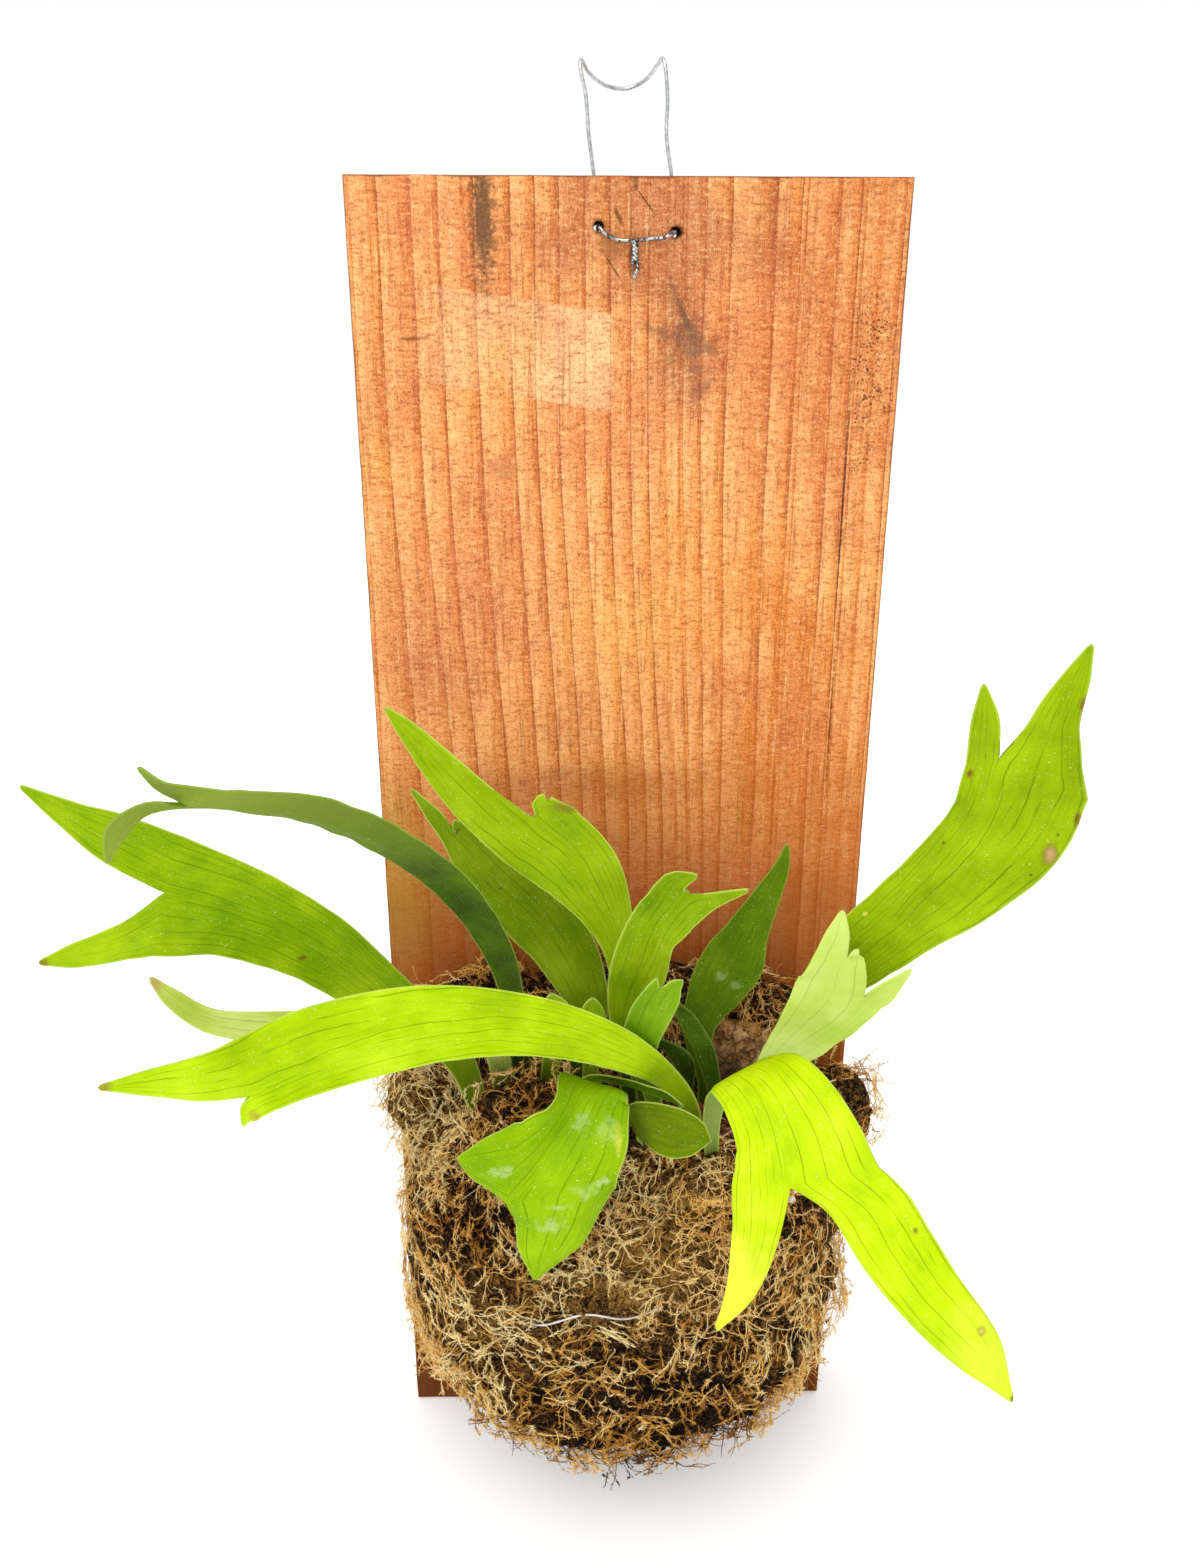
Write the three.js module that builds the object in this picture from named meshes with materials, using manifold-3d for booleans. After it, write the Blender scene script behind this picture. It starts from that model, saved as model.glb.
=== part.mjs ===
// A staghorn fern grown on a ball of moss that is tied to the front of an upright softwood board.
// Millimetres. X runs to the right along the board, Y from the plant into the wall, Z up.
// The origin is the middle of the board's back face, which lies against the wall.

import * as THREE from "three";
import { mergeVertices } from "three/addons/utils/BufferGeometryUtils.js";
import Module from "manifold-3d";

const BOARD_WIDTH = 184;
const BOARD_HEIGHT = 508;
const BOARD_THICKNESS = 19;
const WIRE_DIAMETER = 1.3;
const WIRE_HOLE_DIAMETER = 3.4;
const WIRE_HOLES = [[-10, 239], [15, 237.5]];
const TWIST_TOP = [1.8, -20.9, 234.6];
const TWIST_LENGTH = 12;
const TWIST_TURNS = 2.5;
const TACK_HEAD_DIAMETER = 6;
const TACK_HEAD_THICKNESS = 0.9;
const TACK_SHANK_DIAMETER = 1.8;
const TACK_LENGTH = 15;
const TACK_STAND_OFF = 5;
const TACK_PLAY = 0.17;
const LINE_DIAMETER = 0.8;
const MOSS_HALF_WIDTH = 90;
const MOSS_MIDDLE = -138;
const MOSS_RISE = 120;
const MOSS_DROP = 98;
const MOSS_DEPTH = 86;
const MOSS_RELIEF = 2.4;
const MOSS_GAP = 0.3;
const MOSS_ROUND = 34;
const MOSS_RINGS = 11;
const CROWN_MIDDLE = [0, -70, -76];
const CROWN_HALF_SIZE = [62, 20, 11];
const CROWN_LUMPS = 0.07;
const BLADE_THICKNESS = 1;
const STALK_THICKNESS = 2.4;
const BLADE_CUP = 0.15;
const EDGE_THINNING = 0.35;
const ROW_STEP = 11;
const CLEARANCE = 0.35;

const wasm = await Module();
wasm.setup();

// A closed three.js geometry as a manifold solid.
function solid(geometry) {
  const bare = geometry.clone();
  for (const attribute of ["normal", "uv"]) {
    bare.deleteAttribute(attribute);
  }
  const merged = mergeVertices(bare, 1e-4);
  return new wasm.Manifold(
    new wasm.Mesh({
      numProp: 3,
      vertProperties: merged.attributes.position.array,
      triVerts: new Uint32Array(merged.index.array),
    }),
  );
}

// The largest body of a solid, which leaves out loose scraps of a cut.
function largestBody(shape) {
  return shape.decompose().reduce((a, b) => (b.volume() > a.volume() ? b : a));
}

// A named mesh of a manifold solid.
function piece(name, shape, material) {
  const { vertProperties, triVerts } = largestBody(shape).getMesh();
  const geometry = new THREE.BufferGeometry();
  geometry.setAttribute("position", new THREE.BufferAttribute(vertProperties, 3));
  geometry.setIndex(new THREE.BufferAttribute(triVerts, 1));
  geometry.computeVertexNormals();
  const mesh = new THREE.Mesh(geometry, material);
  mesh.name = name;
  return mesh;
}

function finish(color, roughness, metalness = 0) {
  return new THREE.MeshStandardMaterial({ color, roughness, metalness });
}

const vector = ([x, y, z]) => new THREE.Vector3(x, y, z);
const mix = (a, b, t) => a + (b - a) * t;

// 0 below one edge, 1 above the other, and smooth between them.
const smooth = (value, low, high) => THREE.MathUtils.smoothstep(value, low, high);

// A round bar along Y.
const PEG_SIDES = 8;

function peg([x, z], diameter, yFrom, yTo) {
  const bar = new THREE.CylinderGeometry(diameter / 2, diameter / 2, Math.abs(yTo - yFrom), PEG_SIDES);
  return bar.translate(x, (yFrom + yTo) / 2, z);
}

// A round tube with closed ends along a smooth curve through the points.
function tube(points, diameter, steps, sides) {
  const section = new THREE.Shape();
  for (let i = 0; i < sides; i++) {
    const angle = (2 * Math.PI * i) / sides;
    const [u, v] = [(Math.cos(angle) * diameter) / 2, (Math.sin(angle) * diameter) / 2];
    i ? section.lineTo(u, v) : section.moveTo(u, v);
  }
  section.closePath();
  const extrudePath = new THREE.CatmullRomCurve3(points.map(vector), false, "centripetal");
  return new THREE.ExtrudeGeometry(section, { extrudePath, steps });
}

// The moss is a mound on the board. A spot on it is given by across and up, both from -1 to 1 and
// together inside the unit superdisc, whose rim lies on the board. Relief is 0 or 1.
const MOSS_SQUARENESS = 2.2;
const MOSS_FULLNESS = 0.75;
const MOSS_UNDERCUT = 0.06;
const MOSS_SHOULDER = 41;
const MOSS_BROW = 8;

const discReach = (across, up) =>
  (Math.abs(across) ** MOSS_SQUARENESS + Math.abs(up) ** MOSS_SQUARENESS) ** (1 / MOSS_SQUARENESS);

function mossSpot(across, up, relief = 0) {
  const spread = discReach(across, up);
  const tilt = Math.asin(Math.min(1, spread ** (1 / MOSS_FULLNESS)));
  const out = Math.max(0, Math.cos(tilt)) ** MOSS_FULLNESS;
  const tuck = 1 - MOSS_UNDERCUT * (1 - smooth(out, 0, 0.35));
  const sink = MOSS_SHOULDER * smooth(out, 0.02, 0.4) - MOSS_BROW * smooth(out, 0.5, 0.9);
  const broad = Math.sin(13 * across + 4 * up) * Math.cos(11 * up - 3 * across);
  const lumps = broad + 0.6 * Math.sin(23 * up + 17 * across + 1);
  const swell = relief * MOSS_RELIEF * lumps * smooth(out, 0, 0.25);
  const height = up > 0 ? up * (MOSS_RISE - sink) : up * MOSS_DROP;
  const spot = new THREE.Vector3(across * MOSS_HALF_WIDTH * tuck, 0, height * tuck);
  const outward = new THREE.Vector3(spot.x, 0, spot.z).normalize().multiplyScalar(spread);
  spot.addScaledVector(outward, swell);
  spot.y = -BOARD_THICKNESS - MOSS_GAP - MOSS_DEPTH * out - swell * out;
  spot.z += MOSS_MIDDLE;
  return spot;
}

function mossSolid() {
  const positions = [];
  const index = [];
  const ring = (r) => 1 + (r - 1) * MOSS_ROUND;
  positions.push(...mossSpot(0, 0, 1).toArray());
  for (let r = 1; r <= MOSS_RINGS; r++) {
    const reach = Math.sin((Math.PI / 2) * (r / MOSS_RINGS)) ** MOSS_FULLNESS;
    for (let k = 0; k < MOSS_ROUND; k++) {
      const angle = (2 * Math.PI * k) / MOSS_ROUND;
      const [c, s] = [Math.cos(angle), Math.sin(angle)];
      const scale = reach / discReach(c, s);
      positions.push(...mossSpot(c * scale, s * scale, 1).toArray());
    }
  }
  const back = positions.length / 3;
  positions.push(0, -BOARD_THICKNESS - MOSS_GAP, MOSS_MIDDLE);
  for (let k = 0; k < MOSS_ROUND; k++) {
    const next = (k + 1) % MOSS_ROUND;
    index.push(0, ring(1) + k, ring(1) + next);
    for (let r = 1; r < MOSS_RINGS; r++) {
      const [a, b, c, d] = [ring(r) + k, ring(r + 1) + k, ring(r + 1) + next, ring(r) + next];
      index.push(a, b, c, a, c, d);
    }
    index.push(back, ring(MOSS_RINGS) + next, ring(MOSS_RINGS) + k);
  }
  return solid(indexed(positions, index));
}

function indexed(positions, index) {
  const geometry = new THREE.BufferGeometry();
  geometry.setAttribute("position", new THREE.Float32BufferAttribute(positions, 3));
  geometry.setIndex(index);
  return geometry;
}

// A sheet of triangles given its thickness at each corner, with both faces split alike.
function thicken(corners, triangles, thickness) {
  const normals = corners.map(() => new THREE.Vector3());
  const edges = new Map();
  for (const [a, b, c] of triangles) {
    const normal = new THREE.Vector3()
      .subVectors(corners[b], corners[a])
      .cross(new THREE.Vector3().subVectors(corners[c], corners[a]));
    for (const corner of [a, b, c]) normals[corner].add(normal);
    for (const [from, to] of [[a, b], [b, c], [c, a]]) {
      edges.has(`${to} ${from}`) ? edges.delete(`${to} ${from}`) : edges.set(`${from} ${to}`, [from, to]);
    }
  }
  const count = corners.length;
  const positions = [1, -1].flatMap((side) =>
    corners.flatMap((corner, i) =>
      corner.clone().addScaledVector(normals[i].normalize(), (side * thickness[i]) / 2).toArray(),
    ),
  );
  const index = triangles.flatMap(([a, b, c]) => [a, b, c, a + count, c + count, b + count]);
  for (const [from, to] of edges.values()) {
    index.push(from, from + count, to, to, from + count, to + count);
  }
  return indexed(positions, index);
}

// A blade is a ribbon along a midline of [x, y, z, half width]. Where it forks, its last row is bent
// through the notch, and each lobe goes on from one half of that row. A blade that gives no across
// direction lies square to the viewer in front of the board.
function growRibbon(blade, sheet, startRow, quads, grow) {
  const path = [...blade.midline];
  if (startRow) {
    const [first, last] = [sheet.corners[startRow[0]], sheet.corners[startRow.at(-1)]];
    path.unshift([...first.clone().lerp(last, 0.5).toArray(), first.distanceTo(last) / 2]);
  }
  const curve = new THREE.CatmullRomCurve3(path.map(vector), false, "centripetal");
  const halves = path.map((p) => new THREE.Vector3(p[3], 0, 0));
  const widths = new THREE.CatmullRomCurve3(halves, false, "catmullrom", 0.4);
  const rows = Math.max(3, Math.round(curve.getLength() / ROW_STEP));
  let previous = startRow;
  for (let i = startRow ? 1 : 0; i <= rows; i++) {
    const along = i / rows;
    const t = curve.getUtoTmapping(along, 0);
    const [middle, forward] = [curve.getPoint(t), curve.getTangent(t)];
    if (i === 0) middle.addScaledVector(forward, -grow);
    const half = Math.max(0.7, widths.getPoint(t).x) + grow;
    const across = blade.across
      ? vector(blade.across[0]).lerp(vector(blade.across.at(-1)), along)
      : new THREE.Vector3(forward.z, 0, -forward.x);
    across.addScaledVector(forward, -across.dot(forward)).normalize();
    const turn = mix(blade.twist?.[0] ?? 0, blade.twist?.[1] ?? 0, along);
    across.applyAxisAngle(forward, THREE.MathUtils.degToRad(turn));
    const normal = new THREE.Vector3().crossVectors(across, forward);
    const row = [];
    for (let k = 0; k <= quads; k++) {
      const s = (2 * k) / quads - 1;
      const corner = middle
        .clone()
        .addScaledVector(across, s * half)
        .addScaledVector(normal, BLADE_CUP * half * (s * s - 0.4));
      if (blade.notch) {
        const bend = smooth(along, 0.55, 1) * (1 - Math.abs(s));
        corner.addScaledVector(vector(blade.notch).sub(curve.getPoint(1)), bend);
      }
      row.push(sheet.corners.push(corner) - 1);
      const base = startRow ? 0 : 1 - smooth(along, 0, 0.4);
      const middleThickness = mix(BLADE_THICKNESS, STALK_THICKNESS, base);
      sheet.thickness.push(middleThickness * (1 - EDGE_THINNING * s * s) + 2 * grow);
    }
    if (startRow) {
      const fade = 1 - smooth(along, 0, 0.5);
      const start = curve.getPoint(0);
      const startHalf = widths.getPoint(0).x;
      row.forEach((corner, k) => {
        const s = (2 * k) / quads - 1;
        const straight = start.clone().addScaledVector(across, s * startHalf);
        const shift = sheet.corners[startRow[k]].clone().sub(straight);
        sheet.corners[corner].addScaledVector(shift, fade * 0.9);
      });
    }
    if (previous) {
      for (let k = 0; k < quads; k++) {
        const [a, b, c, d] = [previous[k], previous[k + 1], row[k + 1], row[k]];
        sheet.triangles.push([a, b, c], [a, c, d]);
      }
    }
    previous = row;
  }
  if (blade.lobes) {
    const half = quads / 2;
    growRibbon(blade.lobes[0], sheet, previous.slice(0, half + 1), half, grow);
    growRibbon(blade.lobes[1], sheet, previous.slice(half), half, grow);
  }
}

const forks = (blade) => (blade.lobes ? 1 + Math.max(...blade.lobes.map(forks)) : 0);

function frondSolid(blade, grow = 0) {
  const sheet = { corners: [], triangles: [], thickness: [] };
  growRibbon(blade, sheet, null, 2 ** (forks(blade) + 1), grow);
  return solid(thicken(sheet.corners, sheet.triangles, sheet.thickness));
}

// The fertile fronds. The lobe listed first lies on the side that across points away from: the lower
// one on a blade that runs left, the left one on a blade that runs up.
const FRONDS = {
  frond_left_wide: {
    midline: [
      [-56, -60, -78, 2.5], [-57, -61, -62, 4], [-64, -64, -41, 6], [-89, -72, -11, 10.5],
      [-108, -78, 10, 13], [-133, -83, 26, 16], [-152, -87, 33, 20],
    ],
    twist: [0, 22],
    notch: [-153, -87, 34],
    lobes: [
      { midline: [[-168, -92, 18.5, 6], [-182, -95, 15.5, 4], [-193, -97, 14, 0.8]], twist: [22, 30] },
      { midline: [[-167, -86, 53, 8.4], [-182, -85, 61.5, 4.5], [-196, -83, 70, 0.8]], twist: [22, 10] },
    ],
  },
  frond_left_front: {
    midline: [
      [24, -76, -80, 2.5], [24, -76, -64, 3], [15, -88, -40, 4], [-7, -104, -15, 7.5], [-32, -114, -1, 9.5],
      [-59, -124, 6.5, 11.5], [-78, -130, 7, 12.6], [-99, -136, 4, 12.9], [-112, -140, 0.2, 12.4],
    ],
    twist: [0, 38],
    notch: [-116, -142, -7],
    lobes: [
      { midline: [[-117, -144, -12, 3], [-118, -145, -15.5, 0.8]], twist: [38, 38] },
      { midline: [[-127, -144, 1, 7], [-142, -148, 2, 4], [-156, -152, 3, 0.8]], twist: [38, 25] },
    ],
  },
  frond_left_hidden: {
    midline: [
      [-48, -66, -80, 2.5], [-46, -68, -58, 3], [-51, -85, -21, 5], [-77, -98, -13, 7], [-108, -106, -6, 6],
      [-135, -112, 1, 4], [-145, -114, 10, 3], [-151, -115, 18, 0.8],
    ],
    twist: [0, 20],
  },
  frond_left_arching: {
    midline: [
      [-40, -58, -78, 2.5], [-39, -61, -61, 3], [-41, -78, -9, 4.5], [-47, -88, 18, 6.5],
      [-62, -104, 49, 8.5], [-90, -122, 76, 9.5], [-114, -138, 87, 7.5],
    ],
    twist: [0, -42],
    notch: [-124, -143, 86],
    lobes: [
      { midline: [[-133, -150, 88, 2.5], [-139, -156, 84, 3], [-141, -160, 77, 0.8]], twist: [-35, -20] },
      { midline: [[-129, -144, 92, 3.5], [-134, -148, 99, 1]], twist: [-42, -30] },
    ],
  },
  frond_up_left: {
    midline: [
      [0, -60, -78, 2.5], [1, -62, -58, 3], [-1, -70, -22, 4], [-4, -75, 8, 6], [-16, -78, 36, 13],
      [-30, -78, 50, 15],
    ],
    notch: [-33, -78, 56],
    lobes: [
      { midline: [[-51, -78, 61, 8], [-63, -76, 74, 6], [-73, -73, 85, 3.5], [-80, -71, 92, 0.8]] },
      { midline: [[-30, -77, 61, 3], [-29, -77, 64, 0.8]] },
    ],
  },
  frond_up_left_back: {
    midline: [
      [-22, -56, -78, 2.5], [-19, -57, -58, 3], [-14, -60, -28, 7], [-21, -60, -5, 11], [-32, -58, 11, 13],
      [-46, -56, 25, 13], [-57, -54, 37, 8],
    ],
    notch: [-62, -54, 43],
    lobes: [
      { midline: [[-66, -53, 44, 3.5], [-76, -50, 56, 0.8]] },
      { midline: [[-61, -54, 44, 1.5], [-60, -54, 46, 0.8]] },
    ],
  },
  frond_centre_upright: {
    midline: [
      [8, -67, -78, 2.5], [6, -69, -55, 3], [-1, -82, -18, 6], [2, -90, 4, 9.5], [5, -95, 20, 9],
      [11, -98, 31, 10],
    ],
    notch: [18, -98, 37],
    lobes: [
      { midline: [[13, -99, 42, 4.5], [20, -100, 45, 0.8]] },
      { midline: [[25, -100, 36, 3], [36, -103, 41, 0.8]] },
    ],
  },
  frond_centre_small: {
    midline: [
      [11, -78, -78, 2.5], [9, -80, -52, 3], [3, -93, -22, 6], [6, -99, -6, 7], [9, -102, 2, 6.5],
    ],
    notch: [9, -102, 5],
    lobes: [
      { midline: [[7, -102, 7, 1.5], [7.5, -102, 9, 0.8]] },
      { midline: [[13, -103, 6, 3], [16, -103, 9, 0.8]] },
    ],
  },
  frond_right_back: {
    midline: [
      [30, -57, -78, 2.5], [30, -58, -58, 3], [27, -58, -36, 6], [34, -54, -20, 11], [40, -50, -12, 12],
      [45, -46, -3, 8.5], [51, -42, 7, 6], [58, -38, 20, 3], [60, -36, 28, 0.8],
    ],
  },
  frond_centre_narrow_right: {
    midline: [
      [35, -67, -78, 2.5], [33, -69, -60, 2.5], [27, -76, -34, 3.5], [20, -80, -19, 3], [16, -83, -11, 0.8],
    ],
  },
  frond_centre_narrow_left: {
    midline: [
      [21, -65, -78, 2.5], [22, -67, -58, 2.5], [19, -79, -36, 3.5], [7, -88, -21, 0.8],
    ],
  },
  frond_right_wide: {
    midline: [
      [56, -64, -78, 2.5], [55, -67, -55, 3], [56, -76, -30, 5], [64, -86, -8, 8], [74, -96, 14, 12],
      [87, -104, 32, 13.5], [102, -110, 50, 16], [112, -114, 66, 17.5], [115, -117, 83, 18],
    ],
    twist: [0, -18],
    notch: [106, -117, 89],
    lobes: [
      { midline: [[100, -119, 102, 4], [98, -120, 113, 0.8]], twist: [-18, -10] },
      {
        midline: [[120, -119, 94, 9.5], [120, -121, 103, 6.5], [123, -123, 115, 4], [125, -126, 126, 0.8]],
        twist: [-18, -25],
      },
    ],
  },
  frond_right_pale: {
    midline: [
      [44, -78, -78, 2.5], [44, -80, -60, 3], [50, -95, -28, 7], [56, -103, -13, 10], [62, -108, 0, 13],
      [66, -110, 9, 15],
    ],
    notch: [74, -110, 5],
    lobes: [
      {
        midline: [[64, -112, 19, 9], [64, -112, 22, 8]],
        notch: [67, -112, 22],
        lobes: [
          { midline: [[63, -113, 30, 4], [64, -114, 39, 0.8]] },
          { midline: [[69, -113, 23, 1.5], [70, -113, 25, 0.8]] },
        ],
      },
      { midline: [[79.5, -112, 8.5, 3.8], [87, -114, 18, 0.8]] },
    ],
  },
  frond_right_front: {
    midline: [
      [30, -88, -80, 2.5], [29, -92, -64, 2.5], [28, -100, -44, 3.5], [30, -109, -28, 6], [34, -119, -17, 11],
      [40, -131, -14, 15.5], [45, -142, -18, 18], [47.5, -149, -24, 20.5], [48.5, -155, -30, 23],
    ],
    across: [[1, 0, 0.3], [0.76, 0.1, 0.64]],
    notch: [45.5, -154, -33],
    lobes: [
      {
        midline: [[35, -158, -47, 7.5], [30.5, -162, -65, 4.6], [23.5, -164, -77, 0.8]],
        across: [[1, 0, 0.2], [1, 0, -0.2]],
      },
      {
        midline: [
          [67, -161, -34, 12], [75, -166, -46, 11.5], [86, -172, -60, 10], [98, -177, -73, 8],
          [109, -182, -88, 0.8],
        ],
        across: [[0.8, 0.1, 0.6], [0.8, 0.1, 0.6]],
      },
    ],
  },
  frond_front_hanging: {
    midline: [
      [-2, -80, -80, 2.5], [-3, -84, -58, 3], [-6, -94, -40, 6], [-9, -101, -35, 11], [-15, -112, -35, 15],
      [-19, -119, -39, 18], [-23, -122, -44, 20],
    ],
    across: [[0.95, 0, -0.3], [0.89, 0, -0.45]],
    notch: [-42, -125, -60],
    lobes: [
      { midline: [[-50, -125, -44, 8], [-57, -126, -42, 0.8]], across: [[0.2, 0, -0.98], [0.2, 0, -0.98]] },
      {
        midline: [[-26, -125, -68, 14], [-30, -126, -79, 9], [-33, -126, -91, 0.8]],
        across: [[1, 0, -0.2], [1, 0, 0]],
      },
    ],
  },
  frond_front_small_round: {
    midline: [
      [7, -84, -80, 2.5], [4, -88, -64, 3], [1, -95, -52, 5], [5, -103, -46, 8], [13, -109, -45, 9],
      [21, -112, -45, 6.5], [26, -113, -46, 0.8],
    ],
    across: [[0.6, -0.2, -0.8], [0, -0.35, -0.9]],
  },
  frond_front_narrow: {
    midline: [
      [-20, -74, -78, 2.5], [-19, -76, -54, 2.5], [-13, -82, -42, 3], [-2, -90, -38, 3], [6, -96, -37, 3],
      [12, -100, -37, 3], [17, -103, -39, 0.8],
    ],
    across: [[1, 0, -0.3], [0, 0.5, -0.87]],
  },
  frond_young_left: {
    midline: [
      [-32, -66, -78, 2.5], [-30, -67, -58, 2.5], [-26, -80, -26, 4], [-26, -88, -9, 5], [-27, -90, -3, 1.5],
    ],
  },
  frond_young_right: {
    midline: [
      [-14, -66, -78, 2.5], [-14, -68, -54, 2.5], [-12, -80, -24, 4], [-13, -86, -12, 4], [-13, -88, -6, 1.5],
    ],
  },
};

// The shield fronds, dry papery discs that clasp the crown.
const SHIELDS = {
  shield_frond_right: { centre: [46, -47, -57], facing: [0.1, -0.8, 0.55], radius: 17.5, bulge: 9 },
  shield_frond_left: { centre: [-46, -31, -40], facing: [-0.1, -0.93, 0.35], radius: 16.5, bulge: 3 },
};
const SHIELD_THICKNESS = 1.2;
const SHIELD_WAVE = 0.07;
const SHIELD_FRILL = 1.2;
const SHIELD_RINGS = 5;
const SHIELD_ROUND = 20;

function shieldSolid({ centre, facing, radius, bulge }, grow = 0) {
  const out = vector(facing).normalize();
  const side = new THREE.Vector3(0, 0, 1).cross(out).normalize();
  const up = new THREE.Vector3().crossVectors(out, side);
  const middle = vector(centre);
  const corners = [middle.clone().addScaledVector(out, bulge)];
  const triangles = [];
  for (let r = 1; r <= SHIELD_RINGS; r++) {
    for (let k = 0; k < SHIELD_ROUND; k++) {
      const angle = (2 * Math.PI * k) / SHIELD_ROUND;
      const share = r / SHIELD_RINGS;
      const reach = share * (radius + grow) * (1 + SHIELD_WAVE * Math.sin(3 * angle + radius));
      const height = bulge * (1 - share ** 2.2) + SHIELD_FRILL * share ** 2 * Math.sin(5 * angle);
      const corner = middle.clone().addScaledVector(out, height);
      corner.addScaledVector(side, -reach * Math.cos(angle)).addScaledVector(up, reach * Math.sin(angle));
      corners.push(corner);
      const next = (k + 1) % SHIELD_ROUND;
      const [a, b] = [1 + (r - 2) * SHIELD_ROUND, 1 + (r - 1) * SHIELD_ROUND];
      if (r === 1) triangles.push([0, 1 + next, 1 + k]);
      else triangles.push([a + k, b + next, b + k], [a + k, a + next, b + next]);
    }
  }
  return solid(thicken(corners, triangles, corners.map(() => SHIELD_THICKNESS + 2 * grow)));
}

// The crown: the lumpy rhizome that every frond grows from, half sunk in the moss.
function crownSolid(grow = 0) {
  const geometry = new THREE.SphereGeometry(1, 20, 10);
  const place = geometry.attributes.position;
  for (let i = 0; i < place.count; i++) {
    const spot = new THREE.Vector3().fromBufferAttribute(place, i);
    const lump = 1 + CROWN_LUMPS * Math.sin(9 * spot.x + 2) * Math.cos(5 * spot.y) * Math.cos(4 * spot.z);
    CROWN_HALF_SIZE.forEach((half, axis) => {
      const along = spot.getComponent(axis) * (half * lump + grow);
      spot.setComponent(axis, CROWN_MIDDLE[axis] + along);
    });
    place.setXYZ(i, ...spot.toArray());
  }
  return solid(geometry);
}

// The nylon line runs to and fro over the moss between tacks that stand in the board just outside its
// rim. Each angle, in degrees round the mound, is one tack, and the line visits them in this order.
const TACK_ANGLES = [163, 15, 187, -13, 222, -44];
const TACK_OFFSET = 3.4;
const LINE_SPAN_POINTS = 8;
const LINE_STEPS = 12;
const LINE_SIDES = 4;
const LOOP_SIDES = 8;
const LINE_LEVEL = -BOARD_THICKNESS - TACK_STAND_OFF / 2;
const LOOP_RADIUS = (TACK_SHANK_DIAMETER + LINE_DIAMETER) / 2 + CLEARANCE;
const LEAD_REACH = TACK_HEAD_DIAMETER / 2 + 1.5;
const BEND_BALL = 0.65;

function rimDirection(angle) {
  const [c, s] = [Math.cos(THREE.MathUtils.degToRad(angle)), Math.sin(THREE.MathUtils.degToRad(angle))];
  return [c / discReach(c, s), s / discReach(c, s)];
}

const TACKS = TACK_ANGLES.map((angle) => {
  const rim = mossSpot(...rimDirection(angle));
  const outward = new THREE.Vector3(rim.x, 0, rim.z - MOSS_MIDDLE).setLength(TACK_OFFSET);
  return [rim.x + outward.x, rim.z + outward.z];
});

function tackSolid(spot, grow = 0) {
  const head = -BOARD_THICKNESS - TACK_STAND_OFF;
  const shank = peg(spot, TACK_SHANK_DIAMETER + 2 * grow, head, head + TACK_LENGTH + grow);
  const cap = peg(spot, TACK_HEAD_DIAMETER + 2 * grow, head - TACK_HEAD_THICKNESS - grow, head + grow);
  return solid(shank).add(solid(cap));
}

// The lead of the line from the turn round a tack to the moss, drawn tight past the edge of the tack's
// head. A small ball fills the line's bend at the edge and at its landing on the moss.
function lineLead([x, z], side, landing, grow) {
  const diameter = LINE_DIAMETER + 2 * grow;
  const turn = [x, LINE_LEVEL, z + side * LOOP_RADIUS];
  const edge = [x, LINE_LEVEL - 1, z + side * LEAD_REACH];
  const ball = (place) => solid(new THREE.OctahedronGeometry(BEND_BALL * diameter).translate(...place));
  return solid(tube([turn, edge], diameter, 1, LINE_SIDES))
    .add(ball(edge))
    .add(solid(tube([edge, landing.toArray()], diameter, 1, LINE_SIDES)))
    .add(ball(landing.toArray()));
}

// One stretch of the line over the moss, with its leads from below one tack and to above the next.
function lineSpan(index, grow) {
  const [from, to] = [rimDirection(TACK_ANGLES[index]), rimDirection(TACK_ANGLES[index + 1])];
  const points = Array.from({ length: LINE_SPAN_POINTS }, (_, i) => {
    const along = 0.5 - 0.5 * Math.cos((Math.PI * (i + 1)) / (LINE_SPAN_POINTS + 1));
    return mossSpot(mix(from[0], to[0], along), mix(from[1], to[1], along));
  });
  const run = solid(tube(points.map((p) => p.toArray()), LINE_DIAMETER + 2 * grow, LINE_STEPS, LINE_SIDES));
  return run
    .add(lineLead(TACKS[index], -1, points[0], grow))
    .add(lineLead(TACKS[index + 1], 1, points.at(-1), grow));
}

// The turn of the line round a tack.
function lineLoop([x, z], grow) {
  const radius = LINE_DIAMETER / 2 + grow;
  const section = Array.from({ length: LINE_SIDES }, (_, i) => {
    const angle = (2 * Math.PI * i) / LINE_SIDES;
    return new THREE.Vector2(LOOP_RADIUS + radius * Math.cos(angle), radius * Math.sin(angle));
  });
  return solid(new THREE.LatheGeometry([...section, section[0]], LOOP_SIDES).translate(x, LINE_LEVEL, z));
}

function lineSolid(grow = 0) {
  const spans = TACKS.slice(1).map((_, i) => lineSpan(i, grow));
  const loops = TACKS.map((spot) => lineLoop(spot, grow));
  return [...spans, ...loops].reduce((whole, part) => whole.add(part));
}

// The hanging wire: both ends come forward through the holes and are twisted together over the front,
// and behind the board it rises to a loop whose crown is bent back.
const KNOT_RADIUS = 1.6;
const STRAND_OFFSET = 0.58;
const WIRE_STEPS = 104;
const STRAND_STEPS = 22;
const WIRE_SIDES = 5;

function wireStrand(phase) {
  const [x, y, z] = TWIST_TOP;
  const count = 8 * TWIST_TURNS;
  const points = Array.from({ length: count + 1 }, (_, i) => {
    const angle = phase + (Math.PI * i) / 4;
    const drop = (i / count) * TWIST_LENGTH;
    return [x + STRAND_OFFSET * Math.cos(angle), y + STRAND_OFFSET * Math.sin(angle), z - drop];
  });
  return solid(tube(points, WIRE_DIAMETER, STRAND_STEPS, WIRE_SIDES));
}

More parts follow.
